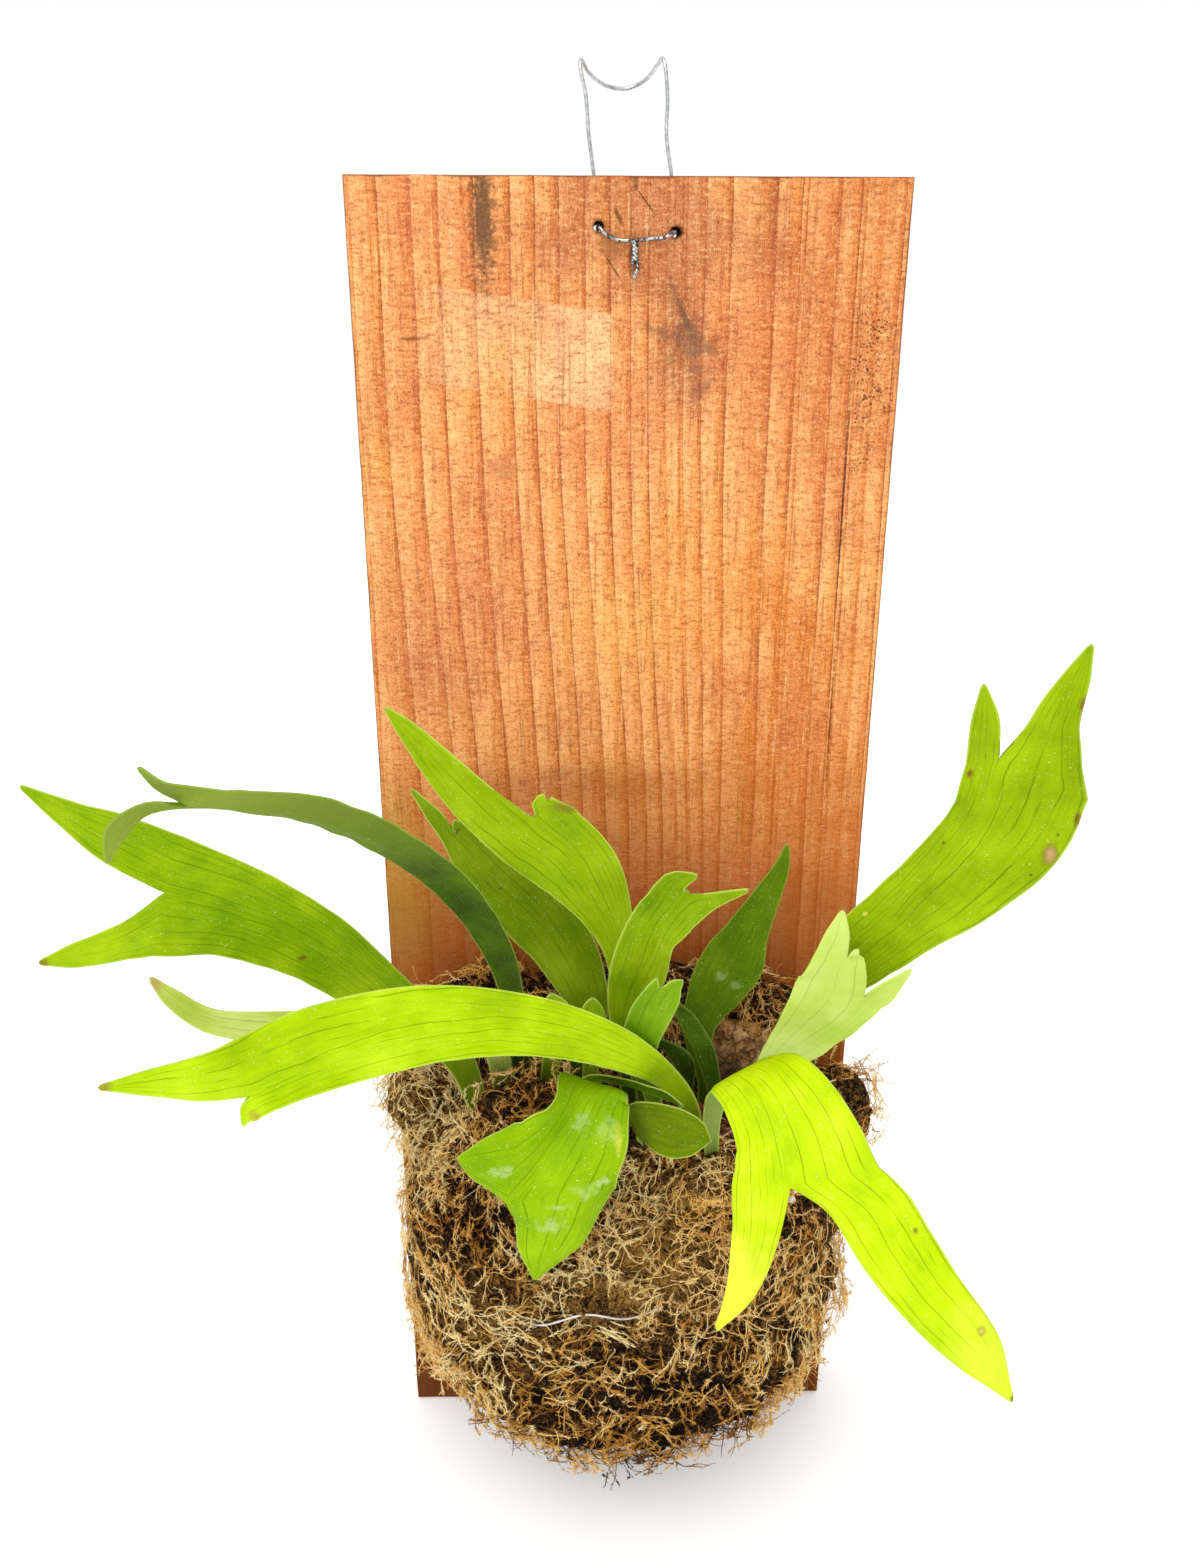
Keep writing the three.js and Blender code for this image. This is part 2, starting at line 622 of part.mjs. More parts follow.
function wireSolid() {
  const radius = WIRE_DIAMETER / 2;
  const behind = radius + CLEARANCE;
  const front = -BOARD_THICKNESS - radius - 2 * CLEARANCE;
  const [[xl, zl], [xr, zr]] = WIRE_HOLES;
  const [xt, yt, zt] = TWIST_TOP;
  const leftEnd = [
    [xt - 1, yt, zt], [xl + 6, front - 0.3, zt + 0.3], [xl + 2.5, front - 0.2, zl - 2.6],
    [xl + 0.4, front + 0.4, zl - 0.6], [xl, -BOARD_THICKNESS / 2, zl], [xl, -1.5, zl],
    [xl, behind - 0.5, zl + 0.8], [xl, behind, zl + 2.5],
  ];
  const loop = [
    [-11, behind, 254], [-12.9, 1, 268], [-13.8, 1, 279], [-15.6, 1.2, 288], [-15.3, 3, 290.2],
    [-12.8, 7, 287.2], [-7, 13, 284.4], [0, 16, 284], [6, 13.5, 286], [10, 6, 289.6], [11.2, 3, 290.8],
    [12, 1.2, 288.5], [13, 1, 279], [12.9, 1, 268], [15, behind, 254],
  ];
  const rightEnd = [
    [xr, behind, zr + 2.5], [xr, behind - 0.5, zr + 0.8], [xr, -1.5, zr], [xr, -BOARD_THICKNESS / 2, zr],
    [xr - 0.4, front + 0.4, zr - 0.3], [xr - 3.5, front - 0.3, zr - 1.8], [xr - 8, front - 0.3, zt + 0.6],
    [xt + 1, yt, zt],
  ];
  const knot = solid(new THREE.IcosahedronGeometry(KNOT_RADIUS, 0).translate(xt, yt, zt - 0.3));
  return solid(tube([...leftEnd, ...loop, ...rightEnd], WIRE_DIAMETER, WIRE_STEPS, WIRE_SIDES))
    .add(wireStrand(0))
    .add(wireStrand(Math.PI))
    .add(knot);
}

function boardSolid() {
  const [right, top] = [BOARD_WIDTH / 2, BOARD_HEIGHT / 2];
  const outline = new THREE.Shape([
    new THREE.Vector2(-right, -top), new THREE.Vector2(right, -top),
    new THREE.Vector2(right, top), new THREE.Vector2(-right, top),
  ]);
  for (const [x, z] of WIRE_HOLES) {
    outline.holes.push(new THREE.Path().absarc(x, z, WIRE_HOLE_DIAMETER / 2, 0, 2 * Math.PI, true));
  }
  const slab = new THREE.ExtrudeGeometry(outline, {
    depth: BOARD_THICKNESS, bevelEnabled: false, curveSegments: 8,
  });
  let board = solid(slab.rotateX(Math.PI / 2));
  const depth = TACK_LENGTH - TACK_STAND_OFF + CLEARANCE;
  for (const tack of TACKS) {
    const mouth = -BOARD_THICKNESS - 1;
    const hole = peg(tack, TACK_SHANK_DIAMETER + 2 * TACK_PLAY, mouth, -BOARD_THICKNESS + depth);
    board = board.subtract(solid(hole));
  }
  return board;
}

const frondFinish = finish(0x86b82a, 0.5);
const softwood = finish(0xb5713f, 0.75);
const galvanisedWire = finish(0x9a9da0, 0.4, 0.9);
const blackSteel = finish(0x4a4a4c, 0.5, 0.8);
const nylon = finish(0xdfe3e4, 0.2);
const dryFrond = finish(0x8a6844, 0.8);
const rhizomeScales = finish(0x4a2c1c, 0.9);
const dryMoss = finish(0x6e5a30, 0.95);

const grownFronds = Object.values(FRONDS).map((blade) => frondSolid(blade, CLEARANCE));
const cut = (shape, tools) => tools.reduce((left, tool) => left.subtract(tool), shape);

const fern = new THREE.Group();
fern.add(piece("board", boardSolid(), softwood));
fern.add(piece("hanger_wire", wireSolid(), galvanisedWire));
TACKS.forEach((tack, i) => fern.add(piece(`tack_${i + 1}`, tackSolid(tack), blackSteel)));
fern.add(piece("binding_line", lineSolid(), nylon));
fern.add(piece("rhizome", cut(crownSolid(), grownFronds), rhizomeScales));
for (const [name, shield] of Object.entries(SHIELDS)) {
  fern.add(piece(name, cut(shieldSolid(shield), [...grownFronds, crownSolid(CLEARANCE)]), dryFrond));
}
for (const [name, blade] of Object.entries(FRONDS)) {
  fern.add(piece(name, frondSolid(blade), frondFinish));
}
const mossTools = [
  ...grownFronds,
  crownSolid(CLEARANCE),
  lineSolid(CLEARANCE),
  ...Object.values(SHIELDS).map((shield) => shieldSolid(shield, CLEARANCE)),
  ...TACKS.map((tack) => tackSolid(tack, CLEARANCE)),
];
fern.add(piece("moss_mound", cut(mossSolid(), mossTools), dryMoss));

export default fern;
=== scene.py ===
from functools import partial

import bpy
import numpy as np
from mathutils import Matrix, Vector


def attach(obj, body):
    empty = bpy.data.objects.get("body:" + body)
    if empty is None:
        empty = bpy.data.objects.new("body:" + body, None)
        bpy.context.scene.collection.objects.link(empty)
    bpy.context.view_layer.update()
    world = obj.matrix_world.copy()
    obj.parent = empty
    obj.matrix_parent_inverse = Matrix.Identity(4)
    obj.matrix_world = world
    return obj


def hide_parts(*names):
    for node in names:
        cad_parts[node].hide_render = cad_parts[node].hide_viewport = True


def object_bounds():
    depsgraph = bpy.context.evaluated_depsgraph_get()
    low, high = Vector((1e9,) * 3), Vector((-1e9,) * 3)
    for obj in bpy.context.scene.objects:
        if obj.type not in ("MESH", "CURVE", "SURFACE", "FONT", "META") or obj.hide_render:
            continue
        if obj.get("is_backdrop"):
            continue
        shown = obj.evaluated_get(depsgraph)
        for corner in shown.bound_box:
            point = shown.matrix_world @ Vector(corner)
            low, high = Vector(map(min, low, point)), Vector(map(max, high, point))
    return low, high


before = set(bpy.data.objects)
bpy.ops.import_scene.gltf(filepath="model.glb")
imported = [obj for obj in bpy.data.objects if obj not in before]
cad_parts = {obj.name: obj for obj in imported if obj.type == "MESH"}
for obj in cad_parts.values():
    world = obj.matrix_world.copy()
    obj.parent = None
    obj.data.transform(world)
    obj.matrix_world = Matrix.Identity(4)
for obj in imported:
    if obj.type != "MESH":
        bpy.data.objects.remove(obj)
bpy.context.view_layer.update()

# Studio. The plant is seen from half a metre in front and a little above, over a plain white floor,
# under one broad soft light from the upper left. Lengths in this file are millimetres in the frame of
# the CAD part, and turn to metres where a mesh or an object is made.
MM = 0.001
EYE = np.array([-19.0, -461.9, 209.3])
YAW, PITCH, ROLL = np.radians([-1.28, 20.19, -0.14])
FOCAL_PIXELS = 1250.0
IMAGE_LONG_SIDE = 1567.0
SENSOR = 36.0
FLOOR_LEVEL = -254.6
FLOOR_HALF_SIZE = 4000.0
KEY_LIGHT_FROM = np.array([-0.35, -0.80, 1.00])
KEY_STRENGTH = 1.75
KEY_SOFTNESS = np.radians(65)
ROOM_LIGHT = 0.88
FLOOR_GLOW = 0.16
PAPER_WHITE = "FAFAF8"
RGBA = {"out": 2, "data_type": "RGBA"}


def unit(vectors):
    """Each vector divided by its own length."""
    return vectors / np.maximum(np.linalg.norm(vectors, axis=-1, keepdims=True), 1e-9)


def colour(code):
    """An sRGB hex value as a linear colour: a channel c becomes ((c + 0.055) / 1.055) ** 2.4, or c / 12.92
    where it is below 0.04045."""
    c = np.array([int(code[i:i + 2], 16) / 255 for i in (0, 2, 4)])
    linear = np.where(c <= 0.04045, c / 12.92, ((c + 0.055) / 1.055) ** 2.4)
    return (*linear, 1.0)


def add_node(tree, kind, values=(), out=0, stops=(), **settings):
    """Adds one shader node and gives one of its outputs. Settings are the node's own attributes, and values
    its inputs by name or number, each a number, a hex colour or another node's output. Stops are the places
    and hex colours of a ramp."""
    node = tree.nodes.new("ShaderNode" + kind)
    for name, value in settings.items():
        setattr(node, name, value)
    for name, value in dict(values).items():
        if isinstance(value, bpy.types.NodeSocket):
            tree.links.new(value, node.inputs[name])
        else:
            node.inputs[name].default_value = colour(value) if isinstance(value, str) else value
    if stops:
        ramp = node.color_ramp.elements
        for _ in stops[2:]:
            ramp.new(0.5)
        for element, (place, shade) in zip(ramp, stops):
            element.position = place
            element.color = colour(shade)
    return node.outputs[out] if len(node.outputs) else node


def new_material(name):
    """A material with an empty node tree, and the function that adds nodes to that tree."""
    material = bpy.data.materials.new(name)
    material.use_nodes = True
    material.node_tree.nodes.clear()
    return material, partial(add_node, material.node_tree)


ahead_level = np.array([-np.sin(YAW), np.cos(YAW), 0])
right_level = np.array([np.cos(YAW), np.sin(YAW), 0])
ahead = ahead_level * np.cos(PITCH) - np.array([0, 0, np.sin(PITCH)])
down_level = -np.array([0, 0, np.cos(PITCH)]) - ahead_level * np.sin(PITCH)
right = right_level * np.cos(ROLL) + down_level * np.sin(ROLL)
down = down_level * np.cos(ROLL) - right_level * np.sin(ROLL)
camera = bpy.data.objects.new("camera", bpy.data.cameras.new("camera"))
camera.data.sensor_width = SENSOR
camera.data.lens = SENSOR * FOCAL_PIXELS / IMAGE_LONG_SIDE
camera.data.clip_start = 0.01
place = np.eye(4)
place[:3] = np.column_stack([right, -down, -ahead, EYE * MM])
camera.matrix_world = Matrix(place.tolist())
bpy.context.scene.collection.objects.link(camera)
bpy.context.scene.camera = camera
bpy.context.scene.view_settings.view_transform = "Standard"

key = bpy.data.objects.new("key_light", bpy.data.lights.new("key_light", "SUN"))
key.data.energy = KEY_STRENGTH
key.data.angle = KEY_SOFTNESS
to_light = unit(KEY_LIGHT_FROM)
level = unit(np.cross([0, 0, 1], to_light))
turn = np.column_stack([level, np.cross(to_light, level), to_light])
key.matrix_world = Matrix(turn.tolist()).to_4x4()
bpy.context.scene.collection.objects.link(key)

world = bpy.data.worlds.new("white_room")
world.use_nodes = True
bpy.context.scene.world = world
world.node_tree.nodes.clear()
add = partial(add_node, world.node_tree)
strength = add("MapRange", {
    "Value": add("LightPath", out="Is Camera Ray"), "To Min": ROOM_LIGHT, "To Max": 1.0})
room = add("Background", {"Color": (1, 1, 1, 1), "Strength": strength})
add("OutputWorld", {"Surface": room})

floor_mesh = bpy.data.meshes.new("floor")
s = FLOOR_HALF_SIZE * MM
floor_mesh.from_pydata([(-s, -s, 0), (s, -s, 0), (s, s, 0), (-s, s, 0)], [], [(0, 1, 2, 3)])
floor = bpy.data.objects.new("floor", floor_mesh)
floor.location.z = FLOOR_LEVEL * MM
bpy.context.scene.collection.objects.link(floor)
paper, add = new_material("white_paper_floor")
matt = add("BsdfPrincipled", {
    "Base Color": PAPER_WHITE, "Roughness": 0.9, "Specular IOR Level": 0.1,
    "Emission Color": PAPER_WHITE, "Emission Strength": FLOOR_GLOW})
add("OutputMaterial", {"Surface": matt})
floor_mesh.materials.append(paper)
floor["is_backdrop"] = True


# Board: one length of softwood sawn square, its front left from the saw. The growth rings run down it
# as bands that darken to a thin line of late wood, its lower half darkens and browns towards the bottom,
# and two holes near the top take the hanging wire. The tacks' holes are under the moss.
BOARD_WIDTH, BOARD_HEIGHT, BOARD_THICKNESS = 184.0, 508.0, 19.0
WIRE_HOLES = [(-10.0, 239.0), (15.0, 237.5)]
WIRE_HOLE_RADIUS = 1.7
TACKS = [(-85.1, -103.3), (85.8, -107.4), (-87.6, -149.7), (86.4, -159.7), (-67.3, -204.0), (65.1, -206.5)]
TACK_HOLE_RADIUS, TACK_HOLE_DEPTH = 1.07, 10.35
# Where each growth ring ends, from the board's middle, and how deep its late wood is, of 40.
RING_LINES = np.array([
    (-92.0, 0), (-90.3, 16), (-81.5, 18), (-70.6, 11), (-61.8, 18), (-50.2, 13), (-38.6, 14), (-30.8, 29),
    (-23.0, 35), (-14.5, 26), (-6.0, 20), (0.8, 24), (6.8, 34), (13.5, 20), (15.6, 12), (17.5, 14),
    (18.9, 14), (25.2, 22), (33.5, 18), (48.2, 24), (56.4, 14), (58.2, 24), (69.0, 22), (75.5, 44),
    (77.3, 18), (83.8, 32), (89.8, 36), (92.0, 0),
])
LATE_WOOD_DEPTH, SWAY_DEPTH, DENT_DEPTH, FRONT_SUNK = 0.10, 0.06, 0.12, 0.18
ARRIS, RIM_CALM = 1.1, 3.0
TWIST_MIDDLE, TWIST_CALM = (2.5, 238.0), (6.0, 14.0)
BOARD_COLUMN_STEP, BOARD_ROW_STEP, LINES_APART, EDGE_ROWS = 3.0, 6.72, 0.6, 7
HOLE_SQUARE, HOLE_LINES, LINE_CLEAR_OF_HOLE = 0.78, (0, 0.38, 0.77, 1.4), 0.7
RING_LINE_COLUMNS = (-0.45, 0.0, 0.16)
EDGE_LINES = np.array([0.15, 0.45, ARRIS])
RIPPLE_WAVES = 7


def ripple(points, size, seed):
    """Smooth noise of about the given size, from -1 to 1: the sum of sine waves that run in random
    directions, with wavelengths spread round that size, over the root of twice their number."""
    rng = np.random.default_rng(seed)
    turns = unit(rng.normal(size=(RIPPLE_WAVES, points.shape[-1]))) * (2 * np.pi / size)
    turns *= rng.uniform(0.6, 1.6, (RIPPLE_WAVES, 1))
    return np.sin(points @ turns.T + rng.uniform(0, 6.28, RIPPLE_WAVES)).sum(-1) / np.sqrt(2 * RIPPLE_WAVES)


def steps(low, high, x):
    """0 below low, 1 above high, and 3t^2 - 2t^3 of the share t between them."""
    t = np.clip((x - low) / (high - low), 0, 1)
    return t * t * (3 - 2 * t)


def make_piece(name, points, faces, material, uvs=(), values=(), sharp=None):
    """A mesh object of points in millimetres and of faces given as index arrays, three or four corners to a
    row. Uvs and values hold a pair or a number for each point."""
    mesh = bpy.data.meshes.new(name)
    faces = [np.asarray(f) for f in faces if len(f)]
    corners = np.concatenate([f.ravel() for f in faces]).astype(np.int32)
    sides = np.concatenate([np.full(len(f), f.shape[1]) for f in faces])
    mesh.vertices.add(len(points))
    mesh.vertices.foreach_set("co", (np.asarray(points) * MM).astype(np.float32).ravel())
    mesh.loops.add(len(corners))
    mesh.loops.foreach_set("vertex_index", corners)
    mesh.polygons.add(len(sides))
    mesh.polygons.foreach_set("loop_start", (np.cumsum(sides) - sides).astype(np.int32))
    mesh.polygons.foreach_set("use_smooth", np.ones(len(sides), bool))
    mesh.update(calc_edges=True)
    for key_name, pairs in dict(uvs).items():
        layer = mesh.uv_layers.new(name=key_name)
        layer.data.foreach_set("uv", np.asarray(pairs, np.float32)[corners].ravel())
    for key_name, numbers in dict(values).items():
        held = mesh.attributes.new(key_name, "FLOAT", "POINT")
        held.data.foreach_set("value", np.asarray(numbers, np.float32))
    if sharp is not None:
        mesh.set_sharp_from_angle(angle=np.radians(sharp))
    mesh.materials.append(material)
    piece = bpy.data.objects.new(name, mesh)
    bpy.context.scene.collection.objects.link(piece)
    return piece


def cell_corners(index):
    """The four corners, in order round it, of each cell of a grid of point numbers."""
    return np.stack([index[:-1, :-1], index[:-1, 1:], index[1:, 1:], index[1:, :-1]], -1)


def grid_lines(half, step, extra):
    """Places from -half to half at even steps, with closer ones along both edges. These and the extra
    places push out the even ones near them."""
    even = np.linspace(-half, half, round(2 * half / step) + 1)
    extra = np.unique(np.round(np.concatenate([extra, half - EDGE_LINES, EDGE_LINES - half]), 3))
    extra = extra[np.abs(extra) < half - 0.1]
    kept = even[(np.abs(even[:, None] - extra).min(1) > LINES_APART) | (np.abs(even) == half)]
    return np.sort(np.concatenate([kept, extra]))


def stain(add, coords, centre, size, turned, ragged, grit, edge):
    """A mask that is 1 inside a turned ellipsoid and fades at its ragged edge: 1 minus the share between the
    edge's start and 1 of the distance from its centre in half sizes, to which noise is added."""
    local = add("Mapping", {
        "Vector": coords, "Location": np.multiply(centre, MM), "Rotation": (0, np.radians(turned), 0),
        "Scale": np.multiply(size, MM)}, vector_type="TEXTURE")
    reach = add("VectorMath", {0: local}, out="Value", operation="LENGTH")
    rough = add("TexNoise", {"Vector": coords, "Scale": grit, "Detail": 2.0})
    reach = add("Math", {0: rough, 1: ragged, 2: reach}, operation="MULTIPLY_ADD")
    return add("MapRange", {"Value": reach, "From Min": 1 + ragged / 2, "From Max": edge + ragged / 2},
               interpolation_type="SMOOTHSTEP")


def mark(add, coords, base, shade, most, *spot):
    """The base colour with a shade laid over it where a stain is, at the given strength."""
    amount = add("Math", {0: stain(add, coords, *spot), 1: most}, operation="MULTIPLY")
    return add("Mix", {0: amount, 6: base, 7: shade}, **RGBA)


def wood_drift(x, z):
    """How far the grain has drifted to the right at a height: nothing in the top fifth, most at the middle
    of the board, and less towards the right edge, where the rings run straight."""
    fall = 8.5 * steps(200, 0, z) ** 1.2 * steps(-95, -30, z)
    return fall * steps(-92, -76, x) * (1 - 0.93 * steps(5, 58, x)) + 0.25 * np.sin(z / 23 + x / 9)


holes = [(*spot, WIRE_HOLE_RADIUS, 0.0) for spot in WIRE_HOLES]
holes += [(*spot, TACK_HOLE_RADIUS, TACK_HOLE_DEPTH) for spot in TACKS]
near_holes = np.outer([-1, 1], HOLE_LINES).ravel()
hole_columns = np.array([x + near_holes * radius for x, _, radius, _ in holes]).ravel()
hole_rows = np.array([z + near_holes * radius for _, z, radius, _ in holes]).ravel()
line_columns = RING_LINES[1:-1, 0, None] + RING_LINE_COLUMNS
clear = (np.abs(line_columns[:, 1, None] - hole_columns) > LINE_CLEAR_OF_HOLE).all(1)
half_wide, half_tall = BOARD_WIDTH / 2, BOARD_HEIGHT / 2
columns = grid_lines(
    half_wide, BOARD_COLUMN_STEP, np.concatenate([line_columns[clear].ravel(), hole_columns]))
rows = grid_lines(half_tall, BOARD_ROW_STEP, hole_rows)
X, Z = np.meshgrid(columns, rows)
inside = (steps(half_wide, half_wide - RIM_CALM, np.abs(X))
          * steps(half_tall, half_tall - RIM_CALM, np.abs(Z)))
off_twist = steps(*TWIST_CALM, np.hypot(X - TWIST_MIDDLE[0], Z - TWIST_MIDDLE[1]))
wander = wood_drift(X, Z) * inside * off_twist
ring = np.clip(np.searchsorted(RING_LINES[:, 0], X - 1e-6) - 1, 0, len(RING_LINES) - 2)
ring_start, ring_end = RING_LINES[ring, 0], RING_LINES[ring + 1, 0]
in_ring = (X - ring_start) / (ring_end - ring_start)
line_depth = RING_LINES[ring + 1, 1] / 40
X = X + wander
from_edge = np.minimum(half_wide - np.abs(X), half_tall - np.abs(Z))
wear = ARRIS * (1 + 0.45 * ripple(np.stack([X, Z], -1), 26, 3))
dip = np.clip(wear - from_edge, 0, None)
rounded = wear - np.sqrt(np.clip(wear ** 2 - dip ** 2, 0, None))
relief = (LATE_WOOD_DEPTH * line_depth * steps(0.55, 1, in_ring)
          + SWAY_DEPTH * ripple(np.stack([X, Z * 0.25], -1), 9, 4))
front_y = -BOARD_THICKNESS + FRONT_SUNK + rounded * 0.8 - relief * inside
back_y = -rounded * 0.6

# Each hole is let into the grid: the cells inside it go, and the points round them move to its circle.
count = X.size
index = np.arange(count).reshape(X.shape)
front_cells, back_cells = np.ones((2, len(rows) - 1, len(columns) - 1), bool)
hole_loops = []
for x, z, radius, depth in holes:
    i0, i1 = np.flatnonzero(np.abs(rows - z) < radius * HOLE_SQUARE)[[0, -1]]
    j0, j1 = np.flatnonzero(np.abs(columns - x) < radius * HOLE_SQUARE)[[0, -1]]
    front_cells[i0:i1, j0:j1] = False
    if not depth:
        back_cells[i0:i1, j0:j1] = False
    loop = np.concatenate([index[i0, j0:j1], index[i0:i1, j1], index[i1, j1:j0:-1], index[i1:i0:-1, j0]])
    spots = unit(np.stack([X.ravel()[loop] - x, Z.ravel()[loop] - z], -1)) * radius + (x, z)
    X.ravel()[loop], Z.ravel()[loop] = spots.T
    hole_loops.append((loop, spots, depth))
points = [np.stack([X, y, Z], -1).reshape(-1, 3) for y in (front_y, back_y)]
ring_uv = np.stack([in_ring, ring + line_depth * 0.9], -1).reshape(-1, 2)
uv = [ring_uv, ring_uv]
quads = [cell_corners(index)[front_cells], cell_corners(index + count)[back_cells][:, ::-1]]
triangles = []
total = 2 * count
for loop, spots, depth in hole_loops:
    following = np.roll(loop, -1)
    if not depth:
        quads.append(np.stack([loop, following, following + count, loop + count], -1))
        continue
    n = len(loop)
    below, floor_y = total + np.arange(n), -BOARD_THICKNESS + depth
    points += [np.insert(spots, 1, floor_y, axis=1), np.insert(spots.mean(0), 1, floor_y)[None]]
    uv.append(ring_uv[np.append(loop, loop[0])])
    quads.append(np.stack([loop, following, np.roll(below, -1), below], -1))
    triangles.append(np.stack([below, np.roll(below, -1), np.full(n, total + n)], -1))
    total += n + 1

# The four edges: rows of points between the rims of front and back, dented here and there.
rim = np.concatenate([index[0, :-1], index[:-1, -1], index[-1, :0:-1], index[:0:-1, 0]])
across_edge = np.linspace(0, 1, EDGE_ROWS + 2)[1:-1, None, None]
edge_grid = points[0][rim] * (1 - across_edge) + points[1][rim] * across_edge
dent = DENT_DEPTH * (1 + ripple(edge_grid, 7, 5))[..., None]
on_side = half_wide - np.abs(edge_grid[..., [0]]) < half_tall - np.abs(edge_grid[..., [2]])
outward = unit(edge_grid * np.where(on_side, [1, 0, 0], [0, 0, 1]))
points.append((edge_grid - outward * dent).reshape(-1, 3))
uv.append(np.tile(ring_uv[rim], (EDGE_ROWS, 1)))
between = total + np.arange(EDGE_ROWS * len(rim)).reshape(EDGE_ROWS, -1)
edge_index = np.vstack([rim, between, rim + count])
quads.append(cell_corners(np.column_stack([edge_index, edge_index[:, 0]]))[..., ::-1].reshape(-1, 4))

# Softwood straight from the saw: matt, with pale early wood, red-brown late wood, a fur of fibres and
# the fine steps of the saw across it.
wood, add = new_material("sawn_softwood")
coords = add("TexCoord", out="Object")
grain = add("UVMap", uv_map="grain")
along, depth, height = [add("SeparateXYZ", {0: coords}, out=axis) for axis in "XYZ"]
ring_place, ring_number = [add("SeparateXYZ", {0: grain}, out=axis) for axis in "XY"]
fibres, saw, pores = [
    add("TexNoise", {
        "Vector": add("Mapping", {
            "Vector": coords, "Rotation": (0, np.radians(turned), 0), "Scale": scale}),
        "Scale": 1.0, "Detail": detail, "Roughness": roughness})
    for scale, turned, detail, roughness in [
        ((900.0, 400.0, 45.0), 0, 4.0, 0.7), ((330.0, 300.0, 1150.0), 1.5, 2.0, 0.6),
        ((2300.0, 1200.0, 1300.0), 0, 2.0, 0.7)]]
clouds, drift = [
    add("TexNoise", {"Vector": coords, "Scale": scale, "Detail": detail, "Roughness": roughness})
    for scale, detail, roughness in [(28.0, 3.0, 0.55), (13.0, 4.0, 0.6)]]

# The rings: each darkens towards its late wood, ends in a thin dark line and has a hue of its own.
shift = add("Math", {0: fibres, 1: 0.5, 2: -0.25}, operation="MULTIPLY_ADD")
ring_tone = add("Math", {0: ring_place, 1: shift}, operation="ADD")
base = add("ValToRGB", {0: ring_tone}, stops=[
    (0.0, "FCBC7A"), (0.45, "F6AE6A"), (0.80, "E29048"), (1.0, "B45E28")])
late = add("Math", {0: ring_number}, operation="FRACT")
line_mask = add("MapRange", {"Value": ring_place, "From Min": 0.925, "From Max": 0.975},
                interpolation_type="SMOOTHSTEP")
line_mask = add("Math", {0: line_mask, 1: late}, operation="MULTIPLY")
whole_number = add("Math", {0: ring_number}, operation="FLOOR")
tone_place = add("Math", {0: whole_number, 1: 3.71}, operation="MULTIPLY")
ring_hue = add("TexNoise", {"W": tone_place, "Scale": 1.0}, noise_dimensions="1D")
redder = add("MapRange", {"Value": ring_hue, "From Min": 0.3, "From Max": 0.75, "To Max": 0.6})

# The pale field where something lay on the board, tilted as it was, and worn through towards its left.
GHOST_LEFT, GHOST_RIGHT, GHOST_LOW, GHOST_HIGH, GHOST_TILT = -70.0, -5.8, 180.5, 211.5, 0.15
tilted = add("Math", {0: along, 1: GHOST_TILT, 2: height}, operation="MULTIPLY_ADD")
worn = add("MapRange", {
    "Value": clouds, "From Min": 0.46, "From Max": 0.62, "To Min": 0.03, "To Max": 0.45})
unworn = add("MapRange", {"Value": along, "From Min": -44 * MM, "From Max": -22 * MM, "To Max": 0.68})
worn = add("Math", {0: worn, 1: unworn}, operation="MAXIMUM")
front = add("MapRange", {"Value": depth, "From Min": -0.0182, "From Max": -0.0187})
field, *sides = [
    add("MapRange", {"Value": value, "From Min": low * MM, "From Max": high * MM, "To Max": most})
    for value, low, high, most in [
        (along, GHOST_LEFT - 3, GHOST_LEFT + 9, 0.9), (along, GHOST_RIGHT + 0.4, GHOST_RIGHT - 0.4, 1.0),
        (tilted, GHOST_LOW - 0.4, GHOST_LOW + 0.4, 1.0), (tilted, GHOST_HIGH + 0.4, GHOST_HIGH - 0.4, 1.0)]]
for side in (*sides, worn, front):
    field = add("Math", {0: field, 1: side}, operation="MULTIPLY")
for mask, shade in [(line_mask, "5E220A"), (redder, "DC8A52"), (field, "FFDCA4")]:
    base = add("Mix", {0: mask, 6: base, 7: shade}, **RGBA)

# Broad tints, lighter and darker, laid over the board, and the light and dark of the wood's clouds,
# saw marks, fibres and pores.
for centre, size, shade, most in [
    ((14, -19, 240), (62, 30, 42), "A45A3C", 0.60), ((74, -19, 205), (40, 30, 100), "BE6430", 0.50),
    ((20, -19, 200), (15, 30, 30), "7E4C38", 0.50), ((-84, -19, 30), (12, 30, 46), "5E3018", 0.12),
    ((-20, -19, 46), (66, 30, 11), "8A4418", 0.45), ((30, -19, 120), (50, 30, 40), "E8903C", 0.40),
    ((64, -19, 72), (34, 30, 70), "CC6C20", 0.55), ((-86, -19, 150), (8, 30, 90), "C06A34", 0.30),
    ((-84, -19, 8), (14, 30, 44), "B89C40", 0.62),
]:
    base = mark(add, coords, base, shade, most, centre, size, 0, 1.6, 45, 0.2)
for noise, low, high, shade, most in [
    (clouds, 0.50, 0.72, "C46A40", 0.50), (drift, 0.52, 0.70, "CC744A", 0.60),
    (drift, 0.46, 0.30, "F8B85C", 0.40), (saw, 0.52, 0.72, "9E4C22", 0.65), (saw, 0.44, 0.26, "FFD494", 0.38),
    (fibres, 0.54, 0.70, "944420", 0.60), (fibres, 0.42, 0.28, "FFD898", 0.45),
    (pores, 0.56, 0.70, "6A3414", 0.70), (pores, 0.42, 0.27, "FFE4B0", 0.40),
]:
    amount = add("MapRange", {"Value": noise, "From Min": low, "From Max": high, "To Max": most})
    base = add("Mix", {0: amount, 6: base, 7: shade}, **RGBA)

